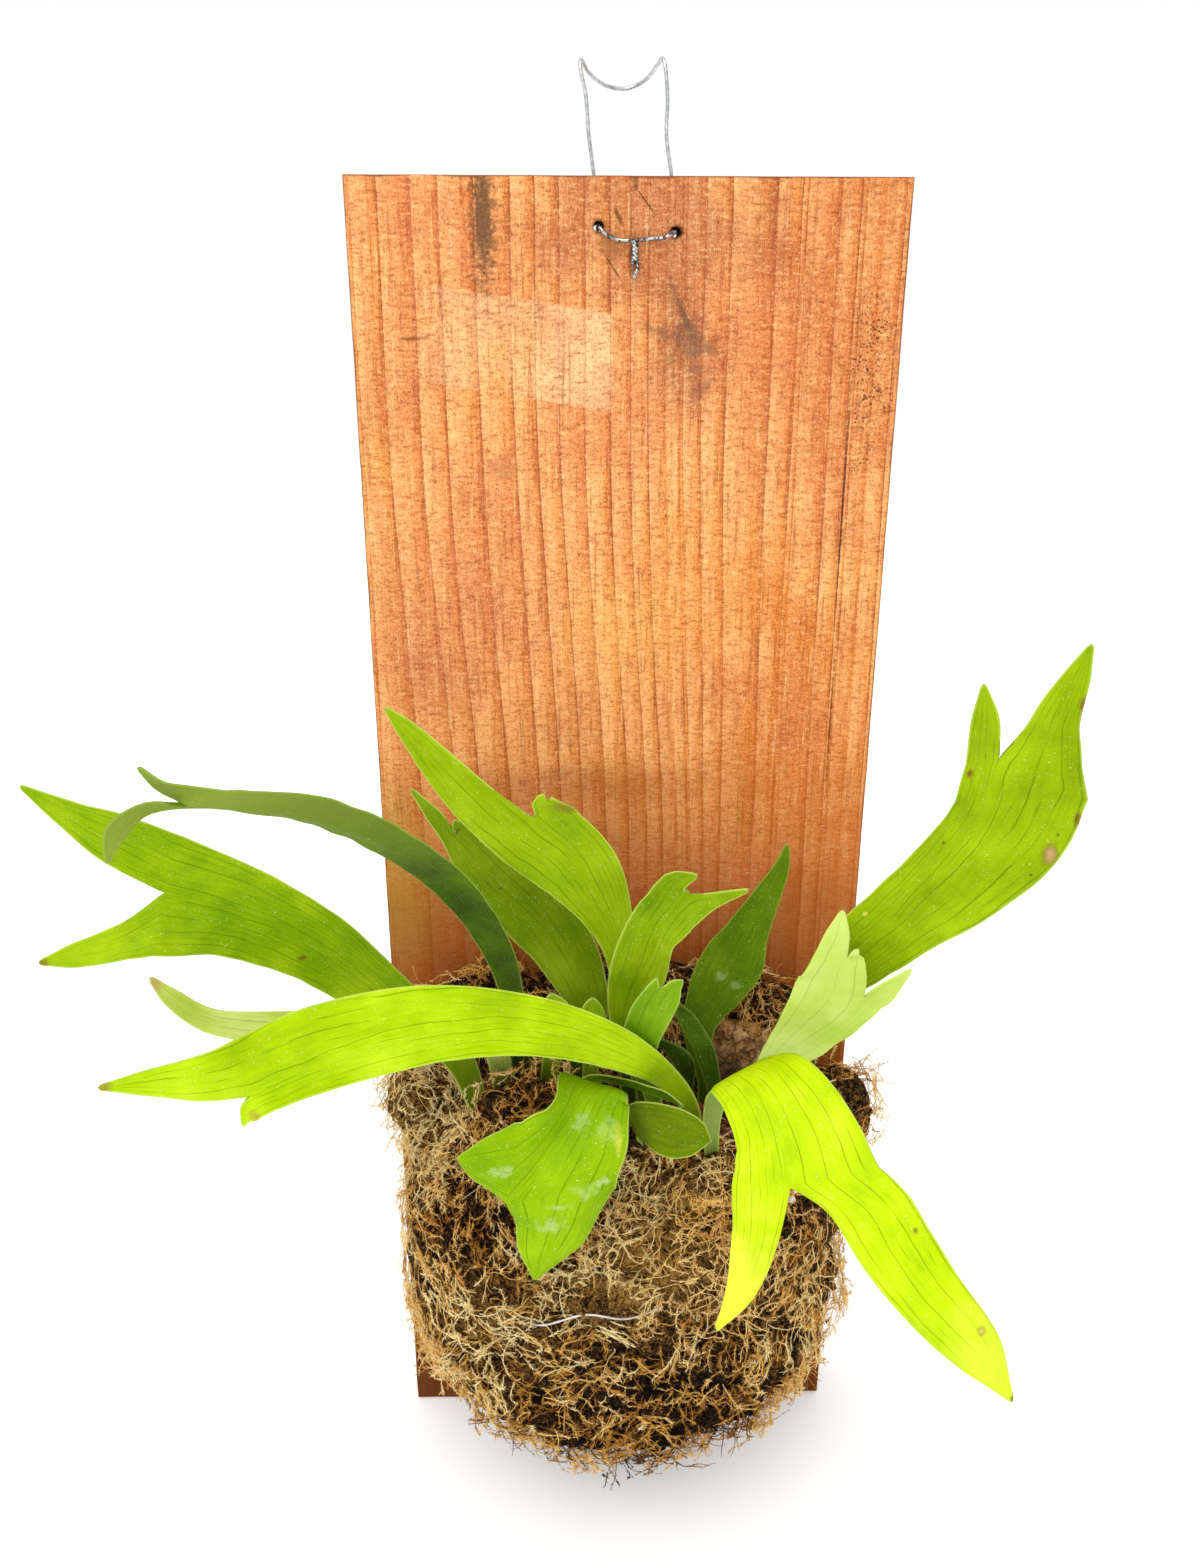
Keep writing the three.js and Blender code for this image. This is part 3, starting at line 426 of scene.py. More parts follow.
# Marks on the wood: middle, half sizes, turn, raggedness, grit, shade and strength.
for centre, size, turned, ragged, grit, shade, most in [
    ((-47.5, -19, 242), (3.6, 3, 23), 0, 1.5, 900, "46342A", 0.65),
    ((-47.5, -19, 240), (5.6, 3, 25), 0, 2.4, 620, "5A402A", 0.60),
    ((18, -19, 213), (1.4, 3, 14), -24, 1.8, 500, "4A3A34", 0.50),
    ((21, -19, 203), (8, 3, 12), -25, 2.6, 260, "5E4A40", 0.50),
    ((12, -19, 206), (9, 3, 2.5), 22, 2.4, 400, "5A443A", 0.40),
    ((24, -19, 190), (4, 3, 9), 0, 2.6, 300, "7A5240", 0.40),
    ((-72, -19, 204.5), (6, 3, 0.9), -3, 0.5, 400, "7B4A2A", 0.75),
    ((-43, -19, 162), (7, 3, 6), 0, 1.2, 300, "B5704A", 0.50),
    ((75.8, -19, 150), (0.55, 3, 50), 0, 1.2, 700, "3F1820", 0.85),
    ((76.6, -19, 70), (0.5, 3, 32), 0, 1.5, 600, "3F1820", 0.80),
    # Painted shade: the next two near-black spots darken the mouths and walls of the wire holes, with a
    # little wear round them.
    ((-10, -19, 239), (3.0, 6, 3.0), 0, 0.5, 900, "120A06", 1.0),
    ((15.4, -19, 237.3), (3.3, 6, 3.1), 0, 0.5, 900, "120A06", 1.0),
    ((1.5, -19, 230), (2.6, 3, 9), 0, 0.8, 800, "6A4428", 0.70),
    ((-6, -19, 233), (5, 3, 6), -40, 1.0, 500, "A5693F", 0.70),
    ((5.2, -19, 246.5), (0.35, 3, 6.8), -38, 0.3, 600, "2A1A10", 0.85),
    ((2.0, -19, 252), (1.2, 3, 3.5), 0, 0.5, 600, "4A3020", 0.6),
    ((-3.6, -19, 242), (1.0, 3, 4.5), -28, 0.5, 600, "5A3A22", 0.75),
    ((-5.5, -19, 227), (0.4, 3, 8), -35, 0.5, 600, "3A2415", 0.7),
]:
    base = mark(add, coords, base, shade, most, centre, size, turned, ragged, grit, 0.3)
specks = add("TexVoronoi", {"Vector": coords, "Scale": 850.0}, out="Distance")
specks = add("MapRange", {"Value": specks, "From Min": 0.44, "From Max": 0.26, "To Max": 0.85})
speckled = stain(add, coords, (82, -19, 194), (10, 3, 40), 0, 2.2, 150, 0.1)
specks = add("Math", {0: specks, 1: speckled}, operation="MULTIPLY")
base = add("Mix", {0: specks, 6: base, 7: "43230F"}, **RGBA)

# The wood darkens and browns in steps towards the bottom: each step takes the heights between which
# it sets in, a shade and a strength.
darkening_edge = add("Math", {0: clouds, 1: 0.09, 2: height}, operation="MULTIPLY_ADD")
for top, foot, shade, most in [
        (0.160, 0.025, "CC6A14", 0.6), (0.105, 0.055, "9A4A02", 0.85), (0.065, 0.0, "6E3200", 0.9),
        (-0.095, -0.135, "140602", 1.2)]:
    darkening = add("MapRange", {"Value": darkening_edge, "From Min": top, "From Max": foot, "To Max": most})
    darkened = add("Mix", {0: 0.62, 6: base, 7: shade}, **RGBA)
    base = add("Mix", {0: darkening, 6: base, 7: darkened}, **RGBA)
base = mark(add, coords, base, "BCA046", 0.28, (-90, -19, 2), (22, 30, 48), 0, 0.7, 60, 0.2)

# Painted shade: the four edges are darkened, standing in for the shadow along the arrises, and the
# back is darkened less.
back = add("MapRange", {
    "Value": depth, "From Min": -0.0025, "From Max": -0.0010, "To Min": 0.82, "To Max": 0.42})
painted_edge_shade = add("MapRange", {"Value": depth, "From Min": -0.01878, "From Max": -0.0185})
painted_edge_shade = add("Math", {0: painted_edge_shade, 1: back}, operation="MULTIPLY")
base = add("Mix", {0: painted_edge_shade, 6: base, 7: "74401F"}, **RGBA)
bump = add("Math", {0: fibres, 1: 0.5, 2: saw}, operation="MULTIPLY_ADD")
bump = add("Math", {0: pores, 1: 0.4, 2: bump}, operation="MULTIPLY_ADD")
bumped = add("Bump", {"Height": bump, "Strength": 0.45, "Distance": 0.0004})
surface = add("BsdfPrincipled", {
    "Base Color": base, "Roughness": 0.78, "Specular IOR Level": 0.08, "Normal": bumped})
add("OutputMaterial", {"Surface": surface})

board = make_piece("sawn_board", np.vstack(points), [np.concatenate(quads), np.concatenate(triangles)],
                   wood, uvs={"grain": np.vstack(uv)}, sharp=60)
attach(board, "root")
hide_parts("board")


# Hanging wire: one length of galvanised iron wire bent with pliers. Both ends come forward through the
# holes and are twisted together, and behind the board it rises to a loop whose crown is bent back.
WIRE_RADIUS, WIRE_SIDES, WIRE_RINGS = 0.65, 10, 500
TWIST_TOP = np.array([1.8, -20.9, 234.6])
TWIST_LENGTH, TWIST_TURNS, TWIST_RADIUS = 12.0, 2.5, 0.62
WIRE_CLEARANCE = 0.35


def through(points, shares, tension=None):
    """A smooth curve through the points at shares of its spans: a cubic in each span whose end slopes are
    the centripetal ones, or the given tension times the step between the neighbouring points."""
    points = np.asarray(points, float)
    spans = len(points) - 1
    padded = np.vstack([2 * points[0] - points[1], points, 2 * points[-1] - points[-2]])
    spot = np.clip(shares, 0, 1) * spans
    i = np.minimum(spot.astype(int), spans - 1)
    w = (spot - i)[:, None]
    p0, p1, p2, p3 = padded[i], padded[i + 1], padded[i + 2], padded[i + 3]
    if tension is None:
        d0, d1, d2 = [np.sqrt(np.linalg.norm(b - a, axis=1, keepdims=True))
                      for a, b in ((p0, p1), (p1, p2), (p2, p3))]
        d1 = np.where(d1 < 1e-4, 1, d1)
        d0, d2 = np.where(d0 < 1e-4, d1, d0), np.where(d2 < 1e-4, d1, d2)
        m1 = ((p1 - p0) / d0 - (p2 - p0) / (d0 + d1) + (p2 - p1) / d1) * d1
        m2 = ((p2 - p1) / d1 - (p3 - p1) / (d1 + d2) + (p3 - p2) / d2) * d1
    else:
        m1, m2 = tension * (p2 - p0), tension * (p3 - p1)
    return p1 + m1 * w + (-3 * p1 + 3 * p2 - 2 * m1 - m2) * w ** 2 + (2 * p1 - 2 * p2 + m1 + m2) * w ** 3


def even_shares(points, count):
    """Shares of a curve's spans at which count points lie evenly along its length."""
    shares = np.linspace(0, 1, 201)
    chords = np.linalg.norm(np.diff(through(points, shares), axis=0), axis=1)
    lengths = np.concatenate([[0], np.cumsum(chords)])
    return np.interp(np.linspace(0, lengths[-1], count), lengths, shares), lengths[-1]


def grid_faces(rows, columns, start=0, wrap=False):
    """The quads of a grid of points numbered row by row from start. With wrap its last column joins its
    first."""
    index = start + np.arange(rows * columns).reshape(rows, columns)
    return cell_corners(np.column_stack([index, index[:, 0]]) if wrap else index).reshape(-1, 4)


def ring_faces(rings, sides, start=0):
    """The quads between neighbouring rings of points numbered from start, and the two fans of triangles that
    close the first and last ring at the two points numbered after them."""
    first, end = start + np.arange(sides), start + rings * sides
    last = end - sides + np.arange(sides)
    fans = np.concatenate([np.stack([np.roll(first, -1), first, np.full(sides, end)], -1),
                           np.stack([last, np.roll(last, -1), np.full(sides, end + 1)], -1)])
    return grid_faces(rings, sides, start, wrap=True), fans


def sweep(path, radius, sides):
    """A closed round tube along a path: a circle carried from point to point with the least turning. Each
    section's turn is the running sum of what its neighbour's axes lack after the smallest rotation."""
    forward = unit(np.gradient(path, axis=0))
    guide = np.where(np.abs(forward[:, 2:]) < 0.8, [[0, 0, 1.0]], [[1.0, 0, 0]])
    side = unit(np.cross(guide, forward))
    up = np.cross(forward, side)
    f0, f1, s0 = forward[:-1], forward[1:], side[:-1]
    axis = np.cross(f0, f1)
    bend = (f0 * f1).sum(1, keepdims=True)
    carried = s0 * bend + np.cross(axis, s0) + axis * (axis * s0).sum(1, keepdims=True) / (1 + bend)
    twist = np.arctan2((carried * up[1:]).sum(1), (carried * side[1:]).sum(1))
    turned = np.concatenate([[0], np.cumsum(twist)])[:, None]
    angle = (turned + np.linspace(0, 2 * np.pi, sides, endpoint=False))[..., None]
    radius = np.broadcast_to(radius, len(path))[:, None, None]
    points = path[:, None] + radius * (side[:, None] * np.cos(angle) + up[:, None] * np.sin(angle))
    return np.vstack([points.reshape(-1, 3), path[[0, -1]]]), *ring_faces(len(path), sides)


(left_x, left_z), (right_x, right_z) = WIRE_HOLES
x, y, z = TWIST_TOP
behind = WIRE_RADIUS + WIRE_CLEARANCE
front = -BOARD_THICKNESS - WIRE_RADIUS - 2 * WIRE_CLEARANCE
turns = np.linspace(0, 1, 41)


def strand_of_twist(phase, length):
    """One strand of the twist, from its top down: a helix round a vertical line."""
    angle = phase + 2 * np.pi * TWIST_TURNS * turns
    ring = np.stack([np.cos(angle), np.sin(angle), np.zeros_like(angle)], -1)
    return TWIST_TOP + TWIST_RADIUS * ring - [0, 0, 1.0] * (turns * length)[:, None] - [0, 0.15, 0]


tail = np.array([[0.6, -0.6, -1.2], [0.2, -0.9, -2.6], [-0.6, -1.0, -4.4], [-1.1, -1.0, -5.6]])
left_strand = strand_of_twist(np.pi, TWIST_LENGTH - 6)[::-1]
right_strand = strand_of_twist(0, TWIST_LENGTH - 6)
wire_points = np.vstack([
    (left_strand[0] + tail)[::-1][:3],
    left_strand[::3],
    [(left_x + 6, front - 0.3, z + 0.3), (left_x + 2.5, front - 0.2, left_z - 2.6),
     (left_x + 0.4, front + 0.4, left_z - 0.6), (left_x, -9.5, left_z), (left_x, -1.5, left_z),
     (left_x, behind - 0.5, left_z + 0.8), (left_x, behind, left_z + 2.5)],
    [(-11, behind, 254), (-12.9, 1, 268), (-13.8, 1, 279), (-15.6, 1.2, 288), (-15.3, 3, 290.2),
     (-12.8, 7, 287.2), (-7, 13, 284.4), (0, 16, 284), (6, 13.5, 286), (10, 6, 289.6), (11.2, 3, 290.8),
     (12, 1.2, 288.5), (13, 1, 279), (12.9, 1, 268), (15, behind, 254)],
    [(right_x, behind, right_z + 2.5), (right_x, behind - 0.5, right_z + 0.8), (right_x, -1.5, right_z),
     (right_x, -9.5, right_z), (right_x - 0.4, front + 0.4, right_z - 0.3),
     (right_x - 3.5, front - 0.3, right_z - 1.8), (right_x - 8, front - 0.3, z + 0.6)],
    right_strand[::3],
    right_strand[-1] + [[0.1, 0.2, -0.5], [-0.1, 0.25, -1.0]],
])
shares, _ = even_shares(wire_points, WIRE_RINGS)
path = through(wire_points, shares)
dents = WIRE_RADIUS * (1 - 0.02 * (1 + ripple(path, 3.0, 11)))
points, *faces = sweep(path, dents, WIRE_SIDES)

# Galvanised iron wire: a dull zinc grey with soft highlights. In front of the board, on the twist and
# the ends, dark patches are painted on as shade and dark reflections.
zinc, add = new_material("galvanised_iron_wire")
coords = add("TexCoord", out="Object")
depth = add("SeparateXYZ", {0: coords}, out="Y")
patches = add("TexNoise", {"Vector": coords, "Scale": 700.0, "Detail": 3.0})
base = add("ValToRGB", {0: patches}, stops=[(0.3, "A8ABAC"), (0.55, "C6C9CA"), (0.75, "E2E4E4")])
painted_front_shade = add("MapRange", {"Value": depth, "From Min": -0.016, "From Max": -0.019})
painted_shade_patches = add("MapRange", {"Value": patches, "From Min": 0.46, "From Max": 0.56, "To Max": 0.95})
painted_front_shade = add("Math", {0: painted_front_shade, 1: painted_shade_patches}, operation="MULTIPLY")
base = add("Mix", {0: painted_front_shade, 6: base, 7: "3A332B"}, **RGBA)
rough = add("MapRange", {"Value": patches, "To Min": 0.22, "To Max": 0.5})
bumped = add("Bump", {"Height": patches, "Strength": 0.25, "Distance": 0.0002})
surface = add("BsdfPrincipled", {
    "Base Color": base, "Metallic": 1.0, "Roughness": rough, "Normal": bumped})
add("OutputMaterial", {"Surface": surface})
wire = make_piece("twisted_wire", points, faces, zinc, sharp=60)
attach(wire, "root")
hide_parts("hanger_wire")


# Tacks: six cut tacks of blued steel, driven in round the rim of the moss with a little of the shank
# left standing for the line to be tied to.
TACK_HEAD_RADIUS, TACK_SHANK_RADIUS, TACK_STAND_OFF, TACK_LENGTH, TACK_SIDES = 3.0, 0.9, 5.0, 15.0, 20


def lathe(profile, sides, centre):
    """A solid turned about an axis along Y: each profile point (radius, y) carried round the centre (x, z).
    Points with no radius close its ends."""
    angle = np.linspace(0, 2 * np.pi, sides, endpoint=False)
    radius, y = np.array(profile).T
    ring = np.stack([centre[0] + radius[1:-1, None] * np.cos(angle), y[1:-1, None] + 0 * angle,
                     centre[1] + radius[1:-1, None] * np.sin(angle)], -1).reshape(-1, 3)
    ends = np.insert([centre, centre], 1, y[[0, -1]], axis=1)
    quads, fans = ring_faces(len(profile) - 2, sides)
    return np.vstack([ring, ends]), quads[:, ::-1], fans[:, ::-1]


# Blued steel: a dark oxide skin, brown with rust in patches.
blued, add = new_material("blued_steel")
coords = add("TexCoord", out="Object")
patches = add("TexNoise", {"Vector": coords, "Scale": 900.0, "Detail": 4.0})
base = add("ValToRGB", {0: patches}, stops=[(0.40, "2B2D33"), (0.55, "4A4038"), (0.68, "7A4A2C")])
surface = add("BsdfPrincipled", {
    "Base Color": base, "Metallic": 0.8, "Roughness": 0.5,
    "Normal": add("Bump", {"Height": patches, "Strength": 0.3, "Distance": 0.0002})})
add("OutputMaterial", {"Surface": surface})
head = -BOARD_THICKNESS - TACK_STAND_OFF
point = head + TACK_LENGTH
tack_profile = [
    (0, head - 1.15), (1.2, head - 1.08), (2.2, head - 0.85), (2.85, head - 0.5),
    (TACK_HEAD_RADIUS, head - 0.25), (2.9, head - 0.05), (2.6, head), (1.1, head + 0.1),
    (TACK_SHANK_RADIUS, head + 0.35), (TACK_SHANK_RADIUS, point - 3.0), (0.5, point - 1.0),
    (0.12, point - 0.2), (0, point)]
for number, spot in enumerate(TACKS, 1):
    points, *faces = lathe(tack_profile, TACK_SIDES, spot)
    tack = make_piece(f"cut_tack_{number}", points, faces, blued, sharp=40)
    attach(tack, "root")
    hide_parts(f"tack_{number}")


# Fertile fronds: nineteen antler blades of one living plant, thin and leathery with forked veins, each
# grown from the crown behind the moss. A blade is a ribbon along a midline of (x, y, z, half width). Where
# it forks, its last row is bent through the notch and each lobe goes on from one half of that row. Most
# show their glossy green face, and "upper": -1 marks the blades whose green face is the other one.
FRONDS = {
    "frond_left_wide": {"twist": (0, 22), "notch": (-153, -87, 34), "midline": [(-56, -60, -78, 2.5),
        (-57, -61, -62, 4), (-64, -64, -41, 6), (-89, -72, -11, 10.5), (-108, -78, 10, 13),
        (-133, -83, 26, 16), (-152, -87, 33, 20)],
        "lobes": [
            {"twist": (22, 30), "midline": [(-168, -92, 18.5, 6), (-182, -95, 15.5, 4),
                (-193, -97, 14, 0.8)]},
            {"twist": (22, 10), "midline": [(-167, -86, 53, 8.4), (-182, -85, 61.5, 4.5),
                (-196, -83, 70, 0.8)]}]},
    "frond_left_front": {"twist": (0, 38), "notch": (-116, -142, -7), "midline": [(24, -76, -80, 2.5),
        (24, -76, -64, 3), (15, -88, -40, 4), (-7, -104, -15, 7.5), (-32, -114, -1, 9.5),
        (-59, -124, 6.5, 11.5), (-78, -130, 7, 12.6), (-99, -136, 4, 12.9), (-112, -140, 0.2, 12.4)],
        "lobes": [
            {"twist": (38, 38), "midline": [(-117, -144, -12, 3), (-118, -145, -15.5, 0.8)]},
            {"twist": (38, 25), "midline": [(-127, -144, 1, 7), (-142, -148, 2, 4), (-156, -152, 3, 0.8)]}]},
    "frond_left_hidden": {"twist": (0, 20), "midline": [(-48, -66, -80, 2.5), (-46, -68, -58, 3),
        (-51, -85, -21, 5), (-77, -98, -13, 7), (-108, -106, -6, 6), (-135, -112, 1, 4),
        (-145, -114, 10, 3), (-151, -115, 18, 0.8)]},
    "frond_left_arching": {"upper": -1, "twist": (0, -42), "notch": (-124, -143, 86), "midline": [
        (-40, -58, -78, 2.5), (-39, -61, -61, 3), (-41, -78, -9, 4.5), (-47, -88, 18, 6.5),
        (-62, -104, 49, 8.5), (-90, -122, 76, 9.5), (-114, -138, 87, 7.5)],
        "lobes": [
            {"twist": (-35, -20), "midline": [(-133, -150, 88, 2.5), (-139, -156, 84, 3),
                (-141, -160, 77, 0.8)]},
            {"twist": (-42, -30), "midline": [(-129, -144, 92, 3.5), (-134, -148, 99, 1)]}]},
    "frond_up_left": {"notch": (-33, -78, 56), "midline": [(0, -60, -78, 2.5), (1, -62, -58, 3),
        (-1, -70, -22, 4), (-4, -75, 8, 6), (-16, -78, 36, 13), (-30, -78, 50, 15)],
        "lobes": [
            {"midline": [(-51, -78, 61, 8), (-63, -76, 74, 6), (-73, -73, 85, 3.5), (-80, -71, 92, 0.8)]},
            {"midline": [(-30, -77, 61, 3), (-29, -77, 64, 0.8)]}]},
    "frond_up_left_back": {"notch": (-62, -54, 43), "midline": [(-22, -56, -78, 2.5), (-19, -57, -58, 3),
        (-14, -60, -28, 7), (-21, -60, -5, 11), (-32, -58, 11, 13), (-46, -56, 25, 13), (-57, -54, 37, 8)],
        "lobes": [
            {"midline": [(-66, -53, 44, 3.5), (-76, -50, 56, 0.8)]},
            {"midline": [(-61, -54, 44, 1.5), (-60, -54, 46, 0.8)]}]},
    "frond_centre_upright": {"notch": (18, -98, 37), "midline": [(8, -67, -78, 2.5), (6, -69, -55, 3),
        (-1, -82, -18, 6), (2, -90, 4, 9.5), (5, -95, 20, 9), (11, -98, 31, 10)],
        "lobes": [
            {"midline": [(13, -99, 42, 4.5), (20, -100, 45, 0.8)]},
            {"midline": [(25, -100, 36, 3), (36, -103, 41, 0.8)]}]},
    "frond_centre_small": {"notch": (9, -102, 5), "midline": [(11, -78, -78, 2.5), (9, -80, -52, 3),
        (3, -93, -22, 6), (6, -99, -6, 7), (9, -102, 2, 6.5)],
        "lobes": [
            {"midline": [(7, -102, 7, 1.5), (7.5, -102, 9, 0.8)]},
            {"midline": [(13, -103, 6, 3), (16, -103, 9, 0.8)]}]},
    "frond_right_back": {"midline": [(30, -57, -78, 2.5), (30, -58, -58, 3), (27, -58, -36, 6),
        (34, -54, -20, 11), (40, -50, -12, 12), (45, -46, -3, 8.5), (51, -42, 7, 6), (58, -38, 20, 3),
        (60, -36, 28, 0.8)]},
    "frond_centre_narrow_right": {"midline": [(35, -67, -78, 2.5), (33, -69, -60, 2.5), (27, -76, -34, 3.5),
        (20, -80, -19, 3), (16, -83, -11, 0.8)]},
    "frond_centre_narrow_left": {"midline": [(21, -65, -78, 2.5), (22, -67, -58, 2.5), (19, -79, -36, 3.5),
        (7, -88, -21, 0.8)]},
    "frond_right_wide": {"twist": (0, -18), "notch": (106, -117, 89), "midline": [(56, -64, -78, 2.5),
        (55, -67, -55, 3), (56, -76, -30, 5), (64, -86, -8, 8), (74, -96, 14, 12), (87, -104, 32, 13.5),
        (102, -110, 50, 16), (112, -114, 66, 17.5), (115, -117, 83, 18)],
        "lobes": [
            {"twist": (-18, -10), "midline": [(100, -119, 102, 4), (98, -120, 113, 0.8)]},
            {"twist": (-18, -25), "midline": [(120, -119, 94, 9.5), (120, -121, 103, 6.5),
                (123, -123, 115, 4), (125, -126, 126, 0.8)]}]},
    "frond_right_pale": {"upper": -1, "notch": (74, -110, 5), "midline": [(44, -78, -78, 2.5),
        (44, -80, -60, 3), (50, -95, -28, 7), (56, -103, -13, 10), (62, -108, 0, 13), (66, -110, 9, 15)],
        "lobes": [
            {"notch": (67, -112, 22), "midline": [(64, -112, 19, 9), (64, -112, 22, 8)],
                "lobes": [
                    {"midline": [(63, -113, 30, 4), (64, -114, 39, 0.8)]},
                    {"midline": [(69, -113, 23, 1.5), (70, -113, 25, 0.8)]}]},
            {"midline": [(79.5, -112, 8.5, 3.8), (87, -114, 18, 0.8)]}]},
    "frond_right_front": {
        "upper": -1, "across": ((1, 0, 0.3), (0.76, 0.1, 0.64)), "notch": (45.5, -154, -33), "midline": [
        (30, -88, -80, 2.5), (29, -92, -64, 2.5), (28, -100, -44, 3.5), (30, -109, -28, 6),
        (34, -119, -17, 11), (40, -131, -14, 15.5), (45, -142, -18, 18), (47.5, -149, -24, 20.5),
        (48.5, -155, -30, 23)],
        "lobes": [
            {"across": ((1, 0, 0.2), (1, 0, -0.2)), "midline": [(35, -158, -47, 7.5),
                (30.5, -162, -65, 4.6), (23.5, -164, -77, 0.8)]},
            {"across": ((0.8, 0.1, 0.6), (0.8, 0.1, 0.6)), "midline": [(67, -161, -34, 12),
                (75, -166, -46, 11.5), (86, -172, -60, 10), (98, -177, -73, 8), (109, -182, -88, 0.8)]}]},
    "frond_front_hanging": {
        "upper": -1, "across": ((0.95, 0, -0.3), (0.89, 0, -0.45)), "notch": (-42, -125, -60), "midline": [
        (-2, -80, -80, 2.5), (-3, -84, -58, 3), (-8, -94, -39, 7.5), (-12, -101, -32, 12.6),
        (-13, -112, -34, 13.2), (-16, -119, -39, 15.8), (-21, -122, -45, 19.5)],
        "lobes": [
            {"across": ((0.2, 0, -0.98), (0.2, 0, -0.98)), "midline": [(-50, -125, -44, 8),
                (-57, -126, -42, 0.8)]},
            {"across": ((1, 0, -0.2), (1, 0, 0)), "midline": [(-26, -125, -68, 14), (-30, -126, -79, 9),
                (-33, -126, -91, 0.8)]}]},
    "frond_front_small_round": {"across": ((0.6, -0.2, -0.8), (0, -0.35, -0.9)), "midline": [
        (7, -84, -80, 2.5), (4, -88, -64, 3), (1, -95, -52, 5), (5, -103, -46, 8), (13, -109, -45, 9),
        (21, -112, -45, 6.5), (26, -113, -46, 0.8)]},
    "frond_front_narrow": {"across": ((1, 0, -0.3), (0, 0.5, -0.87)), "midline": [(-20, -74, -78, 2.5),
        (-19, -76, -54, 2.5), (-13, -82, -42, 3), (-2, -90, -38, 3), (6, -96, -37, 3), (12, -100, -37, 3),
        (17, -103, -39, 0.8)]},
    "frond_young_left": {"midline": [(-32, -66, -78, 2.5), (-30, -67, -58, 2.5), (-26, -80, -26, 4),
        (-26, -88, -9, 5), (-27, -90, -3, 1.5)]},
    "frond_young_right": {"midline": [(-14, -66, -78, 2.5), (-14, -68, -54, 2.5), (-12, -80, -24, 4),
        (-13, -86, -12, 4), (-13, -88, -6, 1.5)]},
}
BLADE_THICKNESS, STALK_THICKNESS, RIM_REACH, BLADE_CUP, MARGIN_WAVE = 0.95, 2.2, 0.3, 0.15, 0.45
ROW_STEP, BLADE_COLUMNS, TIP_ROWS = 2.0, 20, 4
HAIRS_PER_RIM_POINT, HAIR_LENGTH, HAIR_WIDTH, HAIRS_FROM = 2.0, 0.55, 0.09, 40.0


def rotate(vectors, axes, angles):
    """Each vector turned about its unit axis: v cos a + (axis x v) sin a + axis (axis . v)(1 - cos a)."""
    c, s = np.cos(angles)[:, None], np.sin(angles)[:, None]
    held = axes * (axes * vectors).sum(1, keepdims=True)
    return vectors * c + np.cross(axes, vectors) * s + held * (1 - c)


def mix(a, b, share):
    """A straight blend from a to b."""
    return a + (b - a) * share


def edge_profile(s):
    """A blade's thickness over its middle one: 1 at the midline, and thin at both margins."""
    return 1 - 0.3 * s ** 2 - 0.35 * np.abs(s) ** 8


